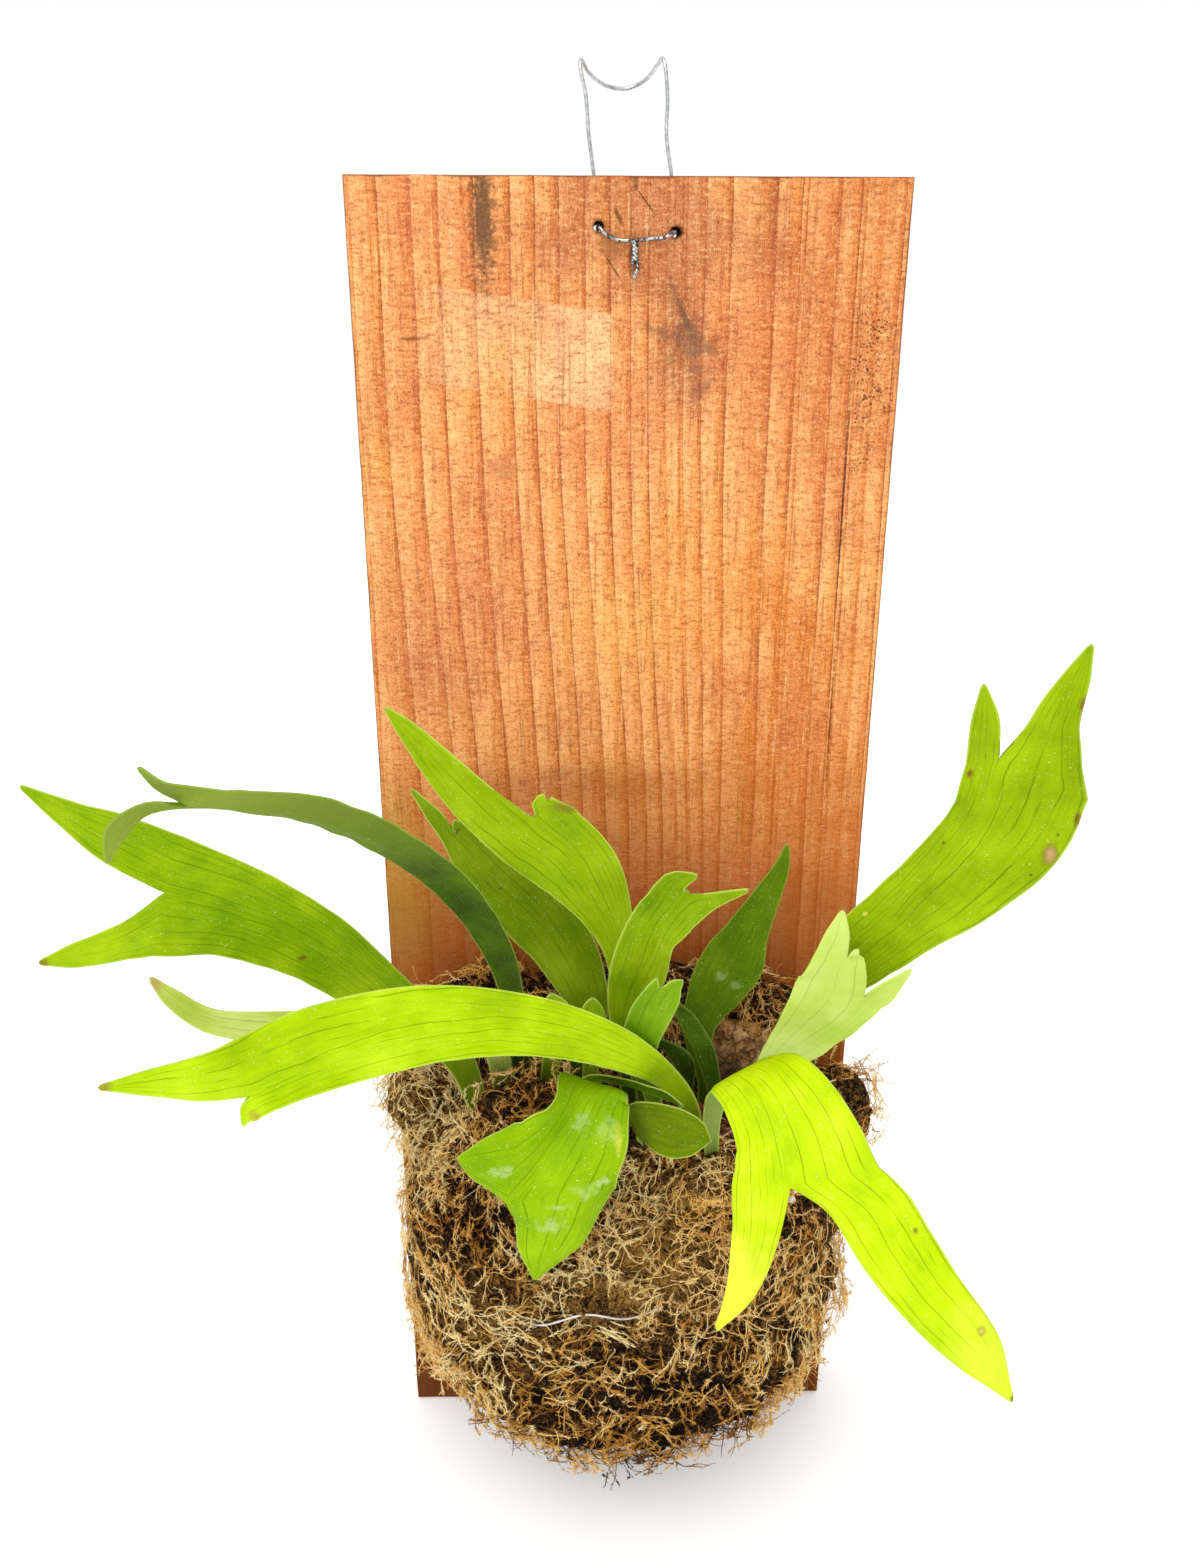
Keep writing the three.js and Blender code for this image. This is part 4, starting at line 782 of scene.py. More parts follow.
def grow_ribbon(blade, sheet, start, columns, veins, seed):
    """Adds a stretch of blade, with its lobes, to a sheet. Each row lies across the midline, cupped by the
    square of the place across it, turned by the twist and waved at its margins. A lobe's first half also
    fades from the row it starts on. Veins gives the share of the root blade that the stretch covers."""
    midline = np.array(blade["midline"], float)
    if start is not None:
        ends = sheet["points"][start[[0, -1]]]
        midline = np.vstack([[*ends.mean(0), np.linalg.norm(ends[1] - ends[0]) / 2], midline])
    curve, halves = midline[:, :3], midline[:, 3:]
    shares, length = even_shares(curve, 201)
    rows = max(5, round(length / ROW_STEP))
    along = np.linspace(0, 1, rows + 1)
    if not blade.get("lobes"):
        tip = min(0.3, 1.7 * max(0.8, midline[-1, 3]) / length)
        along = np.concatenate([
            np.linspace(0, 1 - tip, rows),
            1 - tip + tip * np.sin(np.linspace(0, np.pi / 2, TIP_ROWS + 1))[1:]])
    t = np.interp(along, np.linspace(0, 1, 201), shares)
    middle = through(curve, t)
    forward = unit(through(curve, np.minimum(t + 1e-4, 1)) - through(curve, np.maximum(t - 1e-4, 0)))
    half = np.maximum(0.7, through(halves, t, 0.4)[:, 0])
    if not blade.get("lobes"):
        half = half * np.sqrt(np.clip(1 - (np.clip(along - (1 - tip), 0, 1) / tip) ** 2, 0.03, 1))
    if "across" in blade:
        first, last = np.array(blade["across"][0]), np.array(blade["across"][-1])
        across = mix(first, last, along[:, None])
    else:
        across = np.stack([forward[:, 2], 0 * along, -forward[:, 0]], -1)
    across = unit(across - forward * (across * forward).sum(1, keepdims=True))
    low, high = blade.get("twist", (0, 0))
    across = rotate(across, forward, np.radians(mix(low, high, along)))
    normal = np.cross(across, forward)
    s = np.linspace(-1, 1, columns + 1)[None, :, None]
    wide = half[:, None, None]
    cup = BLADE_CUP * wide * (s ** 2 - 0.4)
    points = middle[:, None] + across[:, None] * s * wide + normal[:, None] * cup
    place = np.stack(np.broadcast_arrays(along[:, None] * length / 13, s[..., 0] * 1.3), -1)
    wave = MARGIN_WAVE * np.clip(wide / 12, 0.15, 1.3) * np.abs(s) ** 3
    wave = wave * ripple(place, 1.0, seed)[..., None]
    if start is not None:
        wave = wave * steps(0, 0.25, along)[:, None, None]
    points = points + normal[:, None] * wave
    if "notch" in blade:
        bend = steps(0.55, 1, along)[:, None, None] * (1 - np.abs(s))
        points = points + bend * (np.array(blade["notch"]) - curve[-1])
    profile = edge_profile(np.broadcast_to(s[..., 0], points.shape[:2]))
    edge = half[:, None] * (1 - np.abs(s[..., 0]))
    if start is not None:
        fade = 1 - steps(0, 0.5, along)[:, None, None]
        straight = curve[0] + across[:, None] * s * halves[0]
        points = points + fade * (sheet["points"][start] - straight)
        near = steps(0, 0.3, along)[:, None]
        profile = mix(sheet["profile"][start], profile, near)
        edge = mix(sheet["edge"][start], edge, near)
        base = 0 * along
    else:
        base = 1 - steps(0, 0.4, along)
    thickness = mix(BLADE_THICKNESS, STALK_THICKNESS, base)[:, None] * profile
    thickness = np.minimum(thickness, 0.25 + 1.1 * half[:, None])
    reached = (sheet["along"][start].mean() if start is not None else 0) + along * length
    q = mix(veins[0], veins[1], (s[..., 0] + 1) / 2)
    keep = slice(1 if start is not None else 0, None)
    grids = {"points": points, "profile": profile, "edge": edge, "thickness": thickness,
             "along": reached[:, None] + 0 * edge, "q": q + 0 * edge, "half": half[:, None] + 0 * edge}
    index = len(sheet["points"]) + np.arange(points[keep, :, 0].size).reshape(-1, columns + 1)
    for name, grid in grids.items():
        sheet[name] = np.concatenate([sheet[name], grid[keep].reshape(-1, *sheet[name].shape[1:])])
    if start is not None:
        index = np.vstack([start, index])
    sheet["faces"] = np.concatenate([sheet["faces"], cell_corners(index).reshape(-1, 4)])
    if blade.get("lobes"):
        n = columns // 2
        centre = (veins[0] + veins[1]) / 2
        grow_ribbon(blade["lobes"][0], sheet, index[-1, :n + 1], n, (veins[0], centre), seed + 31)
        grow_ribbon(blade["lobes"][1], sheet, index[-1, n:], n, (centre, veins[1]), seed + 57)


def spikes(base, direction, flat, length, width):
    """Many small leaves or hairs, each a closed sliver of four triangles: two base corners half the width
    either way along flat, a third one raised over them, and the tip at the length along the direction."""
    direction, flat = unit(direction), unit(flat)
    half = width[:, None] / 2
    corners = np.stack([
        base - flat * half, base + flat * half, base + np.cross(direction, flat) * half * 0.7,
        base + direction * length[:, None]], 1)
    faces = np.array([[0, 2, 1], [0, 1, 3], [1, 2, 3], [2, 0, 3]]) + 4 * np.arange(len(base))[:, None, None]
    return corners.reshape(-1, 3), faces.reshape(-1, 3)


def thicken(points, faces, thickness):
    """A closed skin round a sheet of quads: its points moved half the thickness both ways along the mean
    normal of their faces, joined round the open edge through a row of rim points pushed outward. Gives the
    skin, its faces, the rim's points of the sheet, their ways outward and the sheet's normals."""
    corners = points[faces]
    face_normal = np.cross(corners[:, 2] - corners[:, 0], corners[:, 3] - corners[:, 1])
    normal = np.zeros_like(points)
    np.add.at(normal, faces.ravel(), np.repeat(face_normal, 4, axis=0))
    normal = unit(normal)
    tails, heads = faces.ravel(), np.roll(faces, -1, axis=1).ravel()
    n = len(points)
    open_edge = ~np.isin(tails * n + heads, heads * n + tails)
    tails, heads = tails[open_edge], heads[open_edge]
    outward = np.zeros_like(points)
    push = np.cross(points[heads] - points[tails], normal[tails])
    np.add.at(outward, tails, push)
    np.add.at(outward, heads, push)
    rim = np.unique(tails)
    rim_index = np.zeros(n, int)
    rim_index[rim] = 2 * n + np.arange(len(rim))
    half = thickness[:, None] / 2
    rim_outward = unit(outward[rim])
    rim_points = points[rim] + rim_outward * RIM_REACH * thickness[rim, None]
    skin = np.vstack([points + normal * half, points - normal * half, rim_points])
    quads = np.concatenate([
        faces, faces[:, ::-1] + n,
        np.stack([heads, tails, rim_index[tails], rim_index[heads]], -1),
        np.stack([tails + n, heads + n, rim_index[heads], rim_index[tails]], -1)])
    return skin, quads, rim, rim_outward, normal


def leaf_material(name, look):
    """The skin of one frond: a green ramp over soft blotches, veins at fixed shares of the width with a
    finer net between them, pale scurf, painted shade towards the root, a pale margin, and the blade's own
    marks."""
    material, add = new_material(name)
    coords = add("TexCoord", out="Object")
    blade = add("UVMap", uv_map="blade")
    edge, upper, reached = [
        add("Attribute", out="Fac", attribute_name=held) for held in ("edge", "upper", "reached")]
    blotch = add("TexNoise", {"Vector": coords, "Scale": 42.0, "Detail": 3.0, "Roughness": 0.6})
    streak, wander, gaps, scurf = [
        add("TexNoise", {
            "Vector": add("Mapping", {"Vector": blade, "Scale": scale}), "Scale": 1.0,
            "Detail": detail, "Roughness": roughness})
        for scale, detail, roughness in [
            ((0.9, 0.09, 1.0), 3.0, 0.5), ((0.10, 0.035, 1.0), 3.0, 0.45), ((0.22, 0.05, 1.0), 2.0, 0.5),
            ((1.5, 0.8, 1.0), 3.0, 0.7)]]
    tone = add("Math", {0: streak, 1: 0.35, 2: blotch}, operation="MULTIPLY_ADD")
    dark, middle, light = look["greens"]
    green = add("ValToRGB", {0: tone}, stops=[(0.42, dark), (0.67, middle), (0.95, light)])

    # Veins: main ones at even shares of the width and finer ones between, each with gaps.
    across = add("SeparateXYZ", {0: blade}, out="X")
    across = add("Math", {0: wander, 1: 4.5, 2: across}, operation="MULTIPLY_ADD")
    apart = look.get("spacing", 2.4)
    main, finer = [
        add("Math", {
            0: add("MapRange", {
                "Value": add("Math", {0: across, 1: spacing}, operation="PINGPONG"),
                "From Min": half_width, "From Max": 0.05}, interpolation_type="SMOOTHSTEP"),
            1: add("MapRange", {"Value": gaps, "From Min": low, "From Max": high})}, operation="MULTIPLY")
        for spacing, half_width, low, high in [
            (apart, 0.24, 0.36, 0.50), (apart / 2, 0.18, 0.52, 0.62)]]
    veins = add("Math", {0: main, 1: finer}, operation="MAXIMUM")
    veined, faintly_veined = [
        add("Math", {0: veins, 1: share}, operation="MULTIPLY") for share in (look.get("veins", 0.55), 0.3)]
    pale, shaded, margin, pale_field = [
        add("MapRange", {"Value": value, "From Min": low, "From Max": high, "To Min": least, "To Max": most})
        for value, low, high, least, most in [
            (scurf, 0.58, 0.74, 0.0, look.get("scurf", 0.3)),
            (reached, 0.62, 0.22, 0.0, look.get("root", 0.6)),
            (edge, 0.45, 0.1, 0.0, 0.5), (gaps, 0.56, 0.42, 0.15, 1.0)]]
    large, small = [
        add("MapRange", {
            "Value": add("TexVoronoi", {"Vector": blade, "Scale": scale}, out="Distance"),
            "From Min": low, "From Max": high, "To Max": most})
        for scale, low, high, most in [(0.55, 0.14, 0.06, 0.7), (1.1, 0.17, 0.08, 0.5)]]
    flecks = add("Math", {0: small, 1: large}, operation="MAXIMUM")
    flecks = add("Math", {0: flecks, 1: pale_field}, operation="MULTIPLY")
    # Painted shade darkens the green towards the root.
    for mask, shade in [(veined, "4E7003"), (pale, "DCF028"), (shaded, "243800"), (flecks, "F0F6C0")]:
        green = add("Mix", {0: mask, 6: green, 7: shade}, **RGBA)

    # The underside is felted: paler and duller, with painted shade that darkens it towards the root.
    felt = add("ValToRGB", {0: blotch}, stops=[
        (0.35, look.get("under_dark", "7F9A4A")), (0.65, look.get("under_light", "B9C98A"))])
    if "under_tip" in look:
        outer = add("MapRange", {"Value": reached, "From Min": 1.35, "From Max": 2.1})
        felt = add("Mix", {0: outer, 6: felt, 7: look["under_tip"]}, **RGBA)
    stalk_shade = add("Math", {0: shaded, 1: look.get("stalk_shade", 1.0)}, operation="MULTIPLY")
    for mask, shade in [(stalk_shade, "1E3000"), (pale, "D8E890"), (faintly_veined, "6E8A3A")]:
        felt = add("Mix", {0: mask, 6: felt, 7: shade}, **RGBA)
    base = add("Mix", {0: upper, 6: felt, 7: green}, **RGBA)
    base = add("Mix", {0: margin, 6: base, 7: look.get("margin", "D8EC70")}, **RGBA)
    for centre, size, shade, most in look.get("marks", ()):
        ragged, grit = (2.4, 420) if most < 0.5 else (1.2, 120) if size[0] > 10 else (0.7, 700)
        base = mark(add, coords, base, shade, most, centre, size, 0, ragged, grit, 0.1)
    pits = add("TexNoise", {"Vector": coords, "Scale": 1600.0, "Detail": 2.0})
    rise = add("Math", {0: veins, 1: 0.8, 2: scurf}, operation="MULTIPLY_ADD")
    rise = add("Math", {0: pits, 1: 0.25, 2: rise}, operation="MULTIPLY_ADD")
    bumped = add("Bump", {"Height": rise, "Strength": 0.35, "Distance": 0.0003})
    skin = add("BsdfPrincipled", {
        "Base Color": base, "Roughness": 0.42, "Specular IOR Level": 0.05, "Normal": bumped})
    let_through = add("BsdfTranslucent", {"Color": base, "Normal": bumped})
    surface = add("MixShader", {0: 0.22, 1: skin, 2: let_through})
    add("OutputMaterial", {"Surface": surface})
    return material


# Painted shade: "root" sets how dark a blade is painted towards its root, and the stalk key how much of that
# falls on the felted underside. The hidden frond's dark under greens are painted shade as well.
FROND_LOOKS = {
    "frond_left_wide": {"greens": ("6F9A02", "90B504", "B4CF14"), "marks": [
        ((-176, -95, 17), (26, 8, 11), "C0E010", 0.55),
        ((-112.1, -79.7, 5.8), (2.2, 4, 1.6), "7A5A20", 0.8),
        ((-192, -97, 14), (3.5, 4, 2.5), "8A5A28", 0.7)]},
    "frond_left_front": {"greens": ("9CC202", "B6DC04", "D4F024"), "veins": 0.45, "marks": [
        ((-154.5, -151.8, 3), (3.5, 5, 2.5), "9A7A30", 0.7),
        ((-114, -146, -11.5), (4, 5, 2), "B08A40", 0.6)]},
    "frond_left_hidden": {"greens": ("A8C03A", "C8DA60", "E4EE98"), "root": 0.9, "under_dark": "3C5810",
        "under_light": "58781C", "marks": [((-150, -115, 16), (4, 5, 5), "C09A60", 0.7)]},
    "frond_left_arching": {"greens": ("587A10", "7A9A1A", "9AB84A"), "root": 0.9, "under_dark": "365000",
        "under_light": "5A7A02", "under_tip": "90A63C", "margin": "A8BE50"},
    "frond_up_left": {"greens": ("82A805", "9CBE08", "B8D420"), "root": 0.85, "marks": [
        ((-22, -79, 60), (9, 6, 3), "8A6A30", 0.6)]},
    "frond_up_left_back": {"greens": ("6A8C04", "80A009", "9CBA1C"), "root": 0.85, "marks": [
        ((-49.7, -56.4, 22.3), (0.9, 3, 0.9), "6A5A20", 0.8),
        ((-52.6, -56.7, 20.1), (0.7, 3, 0.7), "6A5A20", 0.8),
        ((-45.4, -56.7, 20.5), (0.7, 3, 0.7), "6A5A20", 0.8)]},
    "frond_centre_upright": {"greens": ("6E9404", "8AAC06", "A8C81A")},
    "frond_centre_small": {"greens": ("62900A", "7AA80C", "9AC028")},
    "frond_right_back": {"greens": ("4A680A", "5E7E08", "7A9C14"), "margin": "9AB83A", "marks": [
        ((35, -53, -18), (4, 6, 2.6), "A8BE7A", 0.45), ((41, -53, -21), (3, 6, 2), "A8BE7A", 0.4)]},
    "frond_centre_narrow_right": {"greens": ("2C4206", "42600A", "5C7E10"), "margin": "7E9A38"},
    "frond_centre_narrow_left": {"greens": ("22340A", "34500C", "4A6A10"), "margin": "6E8A30"},
    "frond_right_wide": {"greens": ("7E9E02", "98B804", "B2D010"), "marks": [
        ((124, -119.7, 59.8), (3.2, 6, 5.2), "7A5A2A", 0.9),
        ((124.2, -119.7, 59.6), (2.2, 6, 3.9), "CFA870", 0.95),
        ((129.6, -122.7, 72.3), (1.6, 5, 4), "7A4A20", 0.8),
        ((94.8, -108.7, 59.3), (0.8, 4, 0.8), "5A3A10", 0.8),
        ((125.3, -120.3, 66.5), (0.7, 4, 0.8), "5A3A10", 0.8),
        ((119.7, -117.9, 52.4), (0.7, 4, 0.6), "5A3A10", 0.8),
        ((125.5, -124.6, 108.2), (1.5, 5, 4), "8A5A28", 0.8),
        ((99.2, -113.3, 83.5), (1.4, 5, 2.5), "7E3A18", 0.8),
        ((74.6, -100.1, 30.9), (1.2, 4, 1.6), "E8E860", 0.8)]},
    "frond_right_pale": {"greens": ("A8C840", "C8E05C", "DCEE80"), "under_dark": "C0DC58",
        "under_light": "DCEE86"},
    "frond_right_front": {"greens": ("ACD404", "CEEE0A", "E8FC34"), "spacing": 3.1, "stalk_shade": 0.1,
        "under_dark": "8AA44A", "under_light": "A8BE60", "marks": [
        ((27, -162, -66), (17, 16, 40), "FFFA50", 0.75), ((104, -178, -76), (28, 14, 30), "F0F850", 0.5),
        ((80.4, -165.1, -39.9), (1.4, 5, 1.5), "8A6A20", 0.8),
        ((99.6, -175.7, -67.5), (2.1, 5, 1.9), "A06A28", 0.8),
        ((99.6, -175.7, -67.5), (1.3, 5, 1.2), "E0E070", 0.8),
        ((109, -182, -88), (1.2, 5, 3), "5A4018", 0.8)]},
    "frond_front_hanging": {"greens": ("7EAA02", "94BE04", "AED410"), "spacing": 2.8,
        "scurf": 0.4, "marks": [((-16.8, -109, -39.4), (4.2, 9, 3.4), "D4E8A0", 0.35),
        ((-8.6, -112, -41.5), (4.6, 9, 3.8), "D0E494", 0.35),
        ((-27.6, -126.4, -68.9), (5.8, 9, 3.6), "D0DE9A", 0.45),
        ((-43.6, -124.3, -48.1), (5.8, 9, 2.6), "DCEAAE", 0.35),
        ((-5, -113, -44.5), (2.2, 9, 6), "ECE460", 0.8), ((-17, -122, -58), (5.8, 9, 3.6), "D0E494", 0.35),
        ((-10, -119, -55), (3.4, 9, 2), "E4EEC0", 0.4), ((-25, -124, -62), (4.4, 9, 1.8), "E0ECB8", 0.35)]},
    "frond_front_small_round": {"greens": ("648002", "7C9804", "9AB410")},
    "frond_front_narrow": {"greens": ("4A6C06", "6A9408", "8AB812")},
    "frond_young_left": {"greens": ("86AC0A", "A0C412", "BCD830")},
    "frond_young_right": {"greens": ("86AC0A", "A0C412", "BCD830")},
}
blade_points, hair_base, hair_way, hair_flat = [], [], [], []
hair_rng = np.random.default_rng(17)
for number, (node, blade) in enumerate(FRONDS.items()):
    sheet = {"points": np.zeros((0, 3)), "faces": np.zeros((0, 4), int)}
    sheet.update({name: np.zeros(0) for name in ("profile", "edge", "thickness", "along", "q", "half")})
    grow_ribbon(blade, sheet, None, BLADE_COLUMNS, (-1.0, 1.0), 100 * number)
    points, quads, rim, rim_outward, normal = thicken(sheet["points"], sheet["faces"], sheet["thickness"])
    n = len(sheet["points"])
    chosen = hair_rng.integers(0, len(rim), round(HAIRS_PER_RIM_POINT * len(rim)))
    chosen = chosen[sheet["along"][rim[chosen]] > HAIRS_FROM]
    jitter = hair_rng.normal(size=(len(chosen), 3))
    hair_base.append(points[2 * n + chosen] + 0.45 * jitter * (1 - np.abs(rim_outward[chosen])))
    hair_way.append(rim_outward[chosen] + 0.6 * hair_rng.normal(size=(len(chosen), 3)))
    hair_flat.append(normal[rim[chosen]])
    again = np.concatenate([np.arange(n), np.arange(n), rim])
    upper = np.concatenate([np.ones(n), np.zeros(n), np.full(len(rim), 0.5)])
    if blade.get("upper", 1) < 0:
        upper = 1 - upper
    widest = sheet["half"].max()
    frond = make_piece(
        node + "_blade", points, [quads], leaf_material(node + "_skin", FROND_LOOKS[node]),
        uvs={"blade": np.column_stack([sheet["q"] * widest, sheet["along"]])[again]},
        values={"edge": sheet["edge"][again], "upper": upper, "reached": sheet["along"][again] / 100})
    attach(frond, "root")
    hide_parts(node)
    blade_points.append(sheet["points"])
blade_points = np.vstack(blade_points)


# Frond hairs: the short white hairs that stand along the margins of every frond. They grow from the
# skin itself, matt and a little see-through, and catch the light as a pale fringe.
white_hair, add = new_material("white_frond_hair")
coords = add("TexCoord", out="Object")
patches = add("TexNoise", {"Vector": coords, "Scale": 300.0})
base = add("ValToRGB", {0: patches}, stops=[(0.4, "DDE9A8"), (0.6, "F6F8E6")])
dry = add("BsdfDiffuse", {"Color": base})
glow = add("BsdfTranslucent", {"Color": base})
surface = add("MixShader", {0: 0.5, 1: dry, 2: glow})
add("OutputMaterial", {"Surface": surface})
hair_base = np.vstack(hair_base)
sizes = hair_rng.uniform(0.6, 1.2, (2, len(hair_base)))
points, triangles = spikes(hair_base, np.vstack(hair_way), np.vstack(hair_flat), HAIR_LENGTH * sizes[0],
                           HAIR_WIDTH * sizes[1])
hairs = make_piece("frond_margin_hairs", points, [triangles], white_hair)
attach(hairs, "root")


# Shield fronds: two dry, papery sterile fronds that clasp the crown behind the antlers. The right one is
# a crumpled brown dome, and the left one a flatter orange-tan sheet. Both grow from the crown and stand
# in the moss.
SHIELDS = {
    "shield_frond_right": {
        "centre": (46, -47, -57), "facing": (0.1, -0.8, 0.55), "radius": 17.5, "bulge": 9, "crumple": 1.8,
        "shades": ("6A4622", "C8945A", "F4CA94")},
    "shield_frond_left": {
        "centre": (-46, -31, -40), "facing": (-0.1, -0.93, 0.35), "radius": 16.5, "bulge": 3, "crumple": 0.5,
        "shades": ("5E3414", "9A5E24", "C48A44")},
}
SHIELD_THICKNESS, SHIELD_CELLS = 0.9, 36
for node, shield in SHIELDS.items():
    out = unit(np.array(shield["facing"], float))
    side = unit(np.cross([0, 0, 1], out))
    up = np.cross(out, side)
    u, v = np.meshgrid(*2 * [np.linspace(-1, 1, SHIELD_CELLS + 1)])
    x, y = u * np.sqrt(1 - v ** 2 / 2), v * np.sqrt(1 - u ** 2 / 2)
    share, angle = np.hypot(x, y), np.arctan2(y, x)
    reach = share * shield["radius"] * (1 + 0.07 * np.sin(3 * angle + shield["radius"]))
    flat = np.stack([-reach * np.cos(angle), reach * np.sin(angle)], -1)
    crumple = shield["crumple"] * (ripple(flat, 9, 21) * 0.9 + 0.5 * np.abs(ripple(flat, 4.5, 22)))
    height = shield["bulge"] * (1 - share ** 2.2) + 1.2 * share ** 2 * np.sin(5 * angle)
    height = height + crumple * (1 - share ** 6)
    points = np.array(shield["centre"]) + flat[..., :1] * side + flat[..., 1:] * up + height[..., None] * out
    points = points.reshape(-1, 3)
    faces = grid_faces(SHIELD_CELLS + 1, SHIELD_CELLS + 1)
    skin, quads, *_ = thicken(points, faces[:, ::-1], np.full(len(points), SHIELD_THICKNESS))

    # Dead shield frond: brown paper crumpled into a coarse net of dark folds, paler where it stands out.
    papery, add = new_material(node + "_dry_paper")
    coords = add("TexCoord", out="Object")
    level = add("SeparateXYZ", {0: coords}, out="Z")
    warp = add("TexNoise", {"Vector": coords, "Scale": 110.0, "Detail": 4.0}, out="Color")
    warped = add("VectorMath", {0: warp, 1: 3 * (0.016,), 2: coords}, operation="MULTIPLY_ADD")
    cracks, fine = [
        add("TexVoronoi", {"Vector": warped, "Scale": scale}, out="Distance", feature="DISTANCE_TO_EDGE")
        for scale in (130.0, 520.0)]
    cloud = add("TexNoise", {"Vector": coords, "Scale": 130.0, "Detail": 4.0, "Roughness": 0.65})
    dark, middle, light = shield["shades"]
    base = add("ValToRGB", {0: cloud}, stops=[(0.34, dark), (0.52, middle), (0.70, light)])
    root = shield["centre"][2]
    ridge, hollow, crease, foot = [
        add("MapRange", {"Value": value, "From Min": low, "From Max": high, "To Max": most})
        for value, low, high, most in [
            (cracks, 0.09, 0.01, 0.85), (cracks, 0.22, 0.42, 0.6), (fine, 0.12, 0.0, 1.0),
            (level, (root + 13) * MM, (root - 1) * MM, 0.85)]]
    creased = add("Math", {0: crease, 1: 0.35}, operation="MULTIPLY")
    # Painted shade: the foot mask darkens the lower part of the paper, where it stands in the moss.
    for mask, shade in [(ridge, dark), (hollow, light), (creased, "3E2610"), (foot, "2C1C0A")]:
        base = add("Mix", {0: mask, 6: base, 7: shade}, **RGBA)
    rise = add("Math", {0: ridge, 1: -1.4, 2: cloud}, operation="MULTIPLY_ADD")
    rise = add("Math", {0: crease, 1: -0.3, 2: rise}, operation="MULTIPLY_ADD")
    bumped = add("Bump", {"Height": rise, "Strength": 0.8, "Distance": 0.0008})
    dry = add("BsdfPrincipled", {
        "Base Color": base, "Roughness": 0.75, "Specular IOR Level": 0.25, "Normal": bumped})
    glow = add("BsdfTranslucent", {"Color": base})
    surface = add("MixShader", {0: 0.15, 1: dry, 2: glow})
    add("OutputMaterial", {"Surface": surface})
    piece = make_piece(node + "_paper", skin, [quads], papery)
    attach(piece, "root")
    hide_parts(node)


# Crown: the short woody rhizome that every frond grows from, half sunk in the moss and covered in
# pointed red-brown scales.
CROWN_MIDDLE, CROWN_HALF_SIZE = np.array([0, -70, -76.0]), np.array([62, 20, 11.0])
CROWN_ROWS, CROWN_COLUMNS = 22, 44
SCALES, SCALE_THICKNESS = 420, 0.25
SCALE_OUTLINE = np.array([0.7, 1.0, 0.95, 0.7, 0.35, 0.04])


def globe(rows, columns):
    """Points of a unit sphere in rings round the X axis, without its two poles: (sin a, cos a cos b,
    cos a sin b)."""
    a = np.linspace(-np.pi / 2, np.pi / 2, rows + 2)[1:-1, None]
    b = np.linspace(0, 2 * np.pi, columns, endpoint=False)
    axes = np.broadcast_arrays(np.sin(a), np.cos(a) * np.cos(b), np.cos(a) * np.sin(b))
    return np.stack(axes, -1).reshape(-1, 3)


def strand_mesh(paths, outward, width, height):
    """Many thin strands at once, as closed three-sided tubes: each section has a corner at the width on
    either side of its path, and a top corner over it by the given share of the width."""
    count, rows, _ = paths.shape
    forward = unit(np.gradient(paths, axis=1))
    side = unit(np.cross(outward[:, None], forward))
    up = np.cross(forward, side)
    width = width[..., None]
    corners = np.stack([paths + side * width, paths + up * (height * width), paths - side * width], 2)
    last = 3 * rows - 3
    shift = 3 * rows * np.arange(count)[:, None, None]
    quads = (grid_faces(rows, 3, wrap=True) + shift).reshape(-1, 4)
    caps = (np.array([[2, 1, 0], [last, last + 1, last + 2]]) + shift).reshape(-1, 3)
    return corners.reshape(-1, 3), quads, caps


def curl(start, outward, heading, length, rows, bend, sway, lift, droop, rng):
    """Paths of strands that leave their starts along a heading. The heading turns about the outward axis by
    a steady bend and a sway, leaves the surface by a lift that dies away along the strand, and droops."""
    count = len(start)
    share = np.linspace(0, 1, rows)
    waves = rng.uniform([0.6, 0], [2.2, 1], (count, 2))
    angle = bend[:, None] * share + sway[:, None] * (
        np.sin(2 * np.pi * (waves[:, :1] * share + waves[:, 1:])) - np.sin(2 * np.pi * waves[:, 1:]))
    across = np.cross(outward, heading)
    rising = lift[:, None] * np.cos(np.pi * share * rng.uniform(0.5, 1.2, (count, 1)))
    steer = (heading[:, None] * np.cos(angle)[..., None] + across[:, None] * np.sin(angle)[..., None]
             + outward[:, None] * rising[..., None])
    steer = steer - np.array([0, 0, 1.0]) * (droop[:, None] * share)[..., None]
    stride = unit(steer) * (length / (rows - 1))[:, None, None]
    walked = np.concatenate([np.zeros((count, 1, 3)), np.cumsum(stride[:, :-1], axis=1)], axis=1)
    return start[:, None] + walked


ball, poles = globe(CROWN_ROWS, CROWN_COLUMNS), np.array([[-1, 0, 0], [1, 0, 0]])
lump = 1 + 0.07 * np.sin(9 * ball[:, 0] + 2) * np.cos(5 * ball[:, 1]) * np.cos(4 * ball[:, 2])
lump = lump + 0.02 * ripple(ball * CROWN_HALF_SIZE, 5, 31)
points = CROWN_MIDDLE + np.vstack([ball * CROWN_HALF_SIZE * lump[:, None], poles * CROWN_HALF_SIZE])
quads, caps = ring_faces(CROWN_ROWS, CROWN_COLUMNS)
rng = np.random.default_rng(41)
way = unit(rng.normal(size=(4 * SCALES, 3)))
way = way[(way[:, 2] > -0.25) & (way[:, 1] < 0.5)][:SCALES]
outward = unit(way / CROWN_HALF_SIZE)
heading = unit(np.cross(outward, rng.normal(size=outward.shape)) + [0, 0, 0.5])
length = rng.uniform(5, 11, len(way))
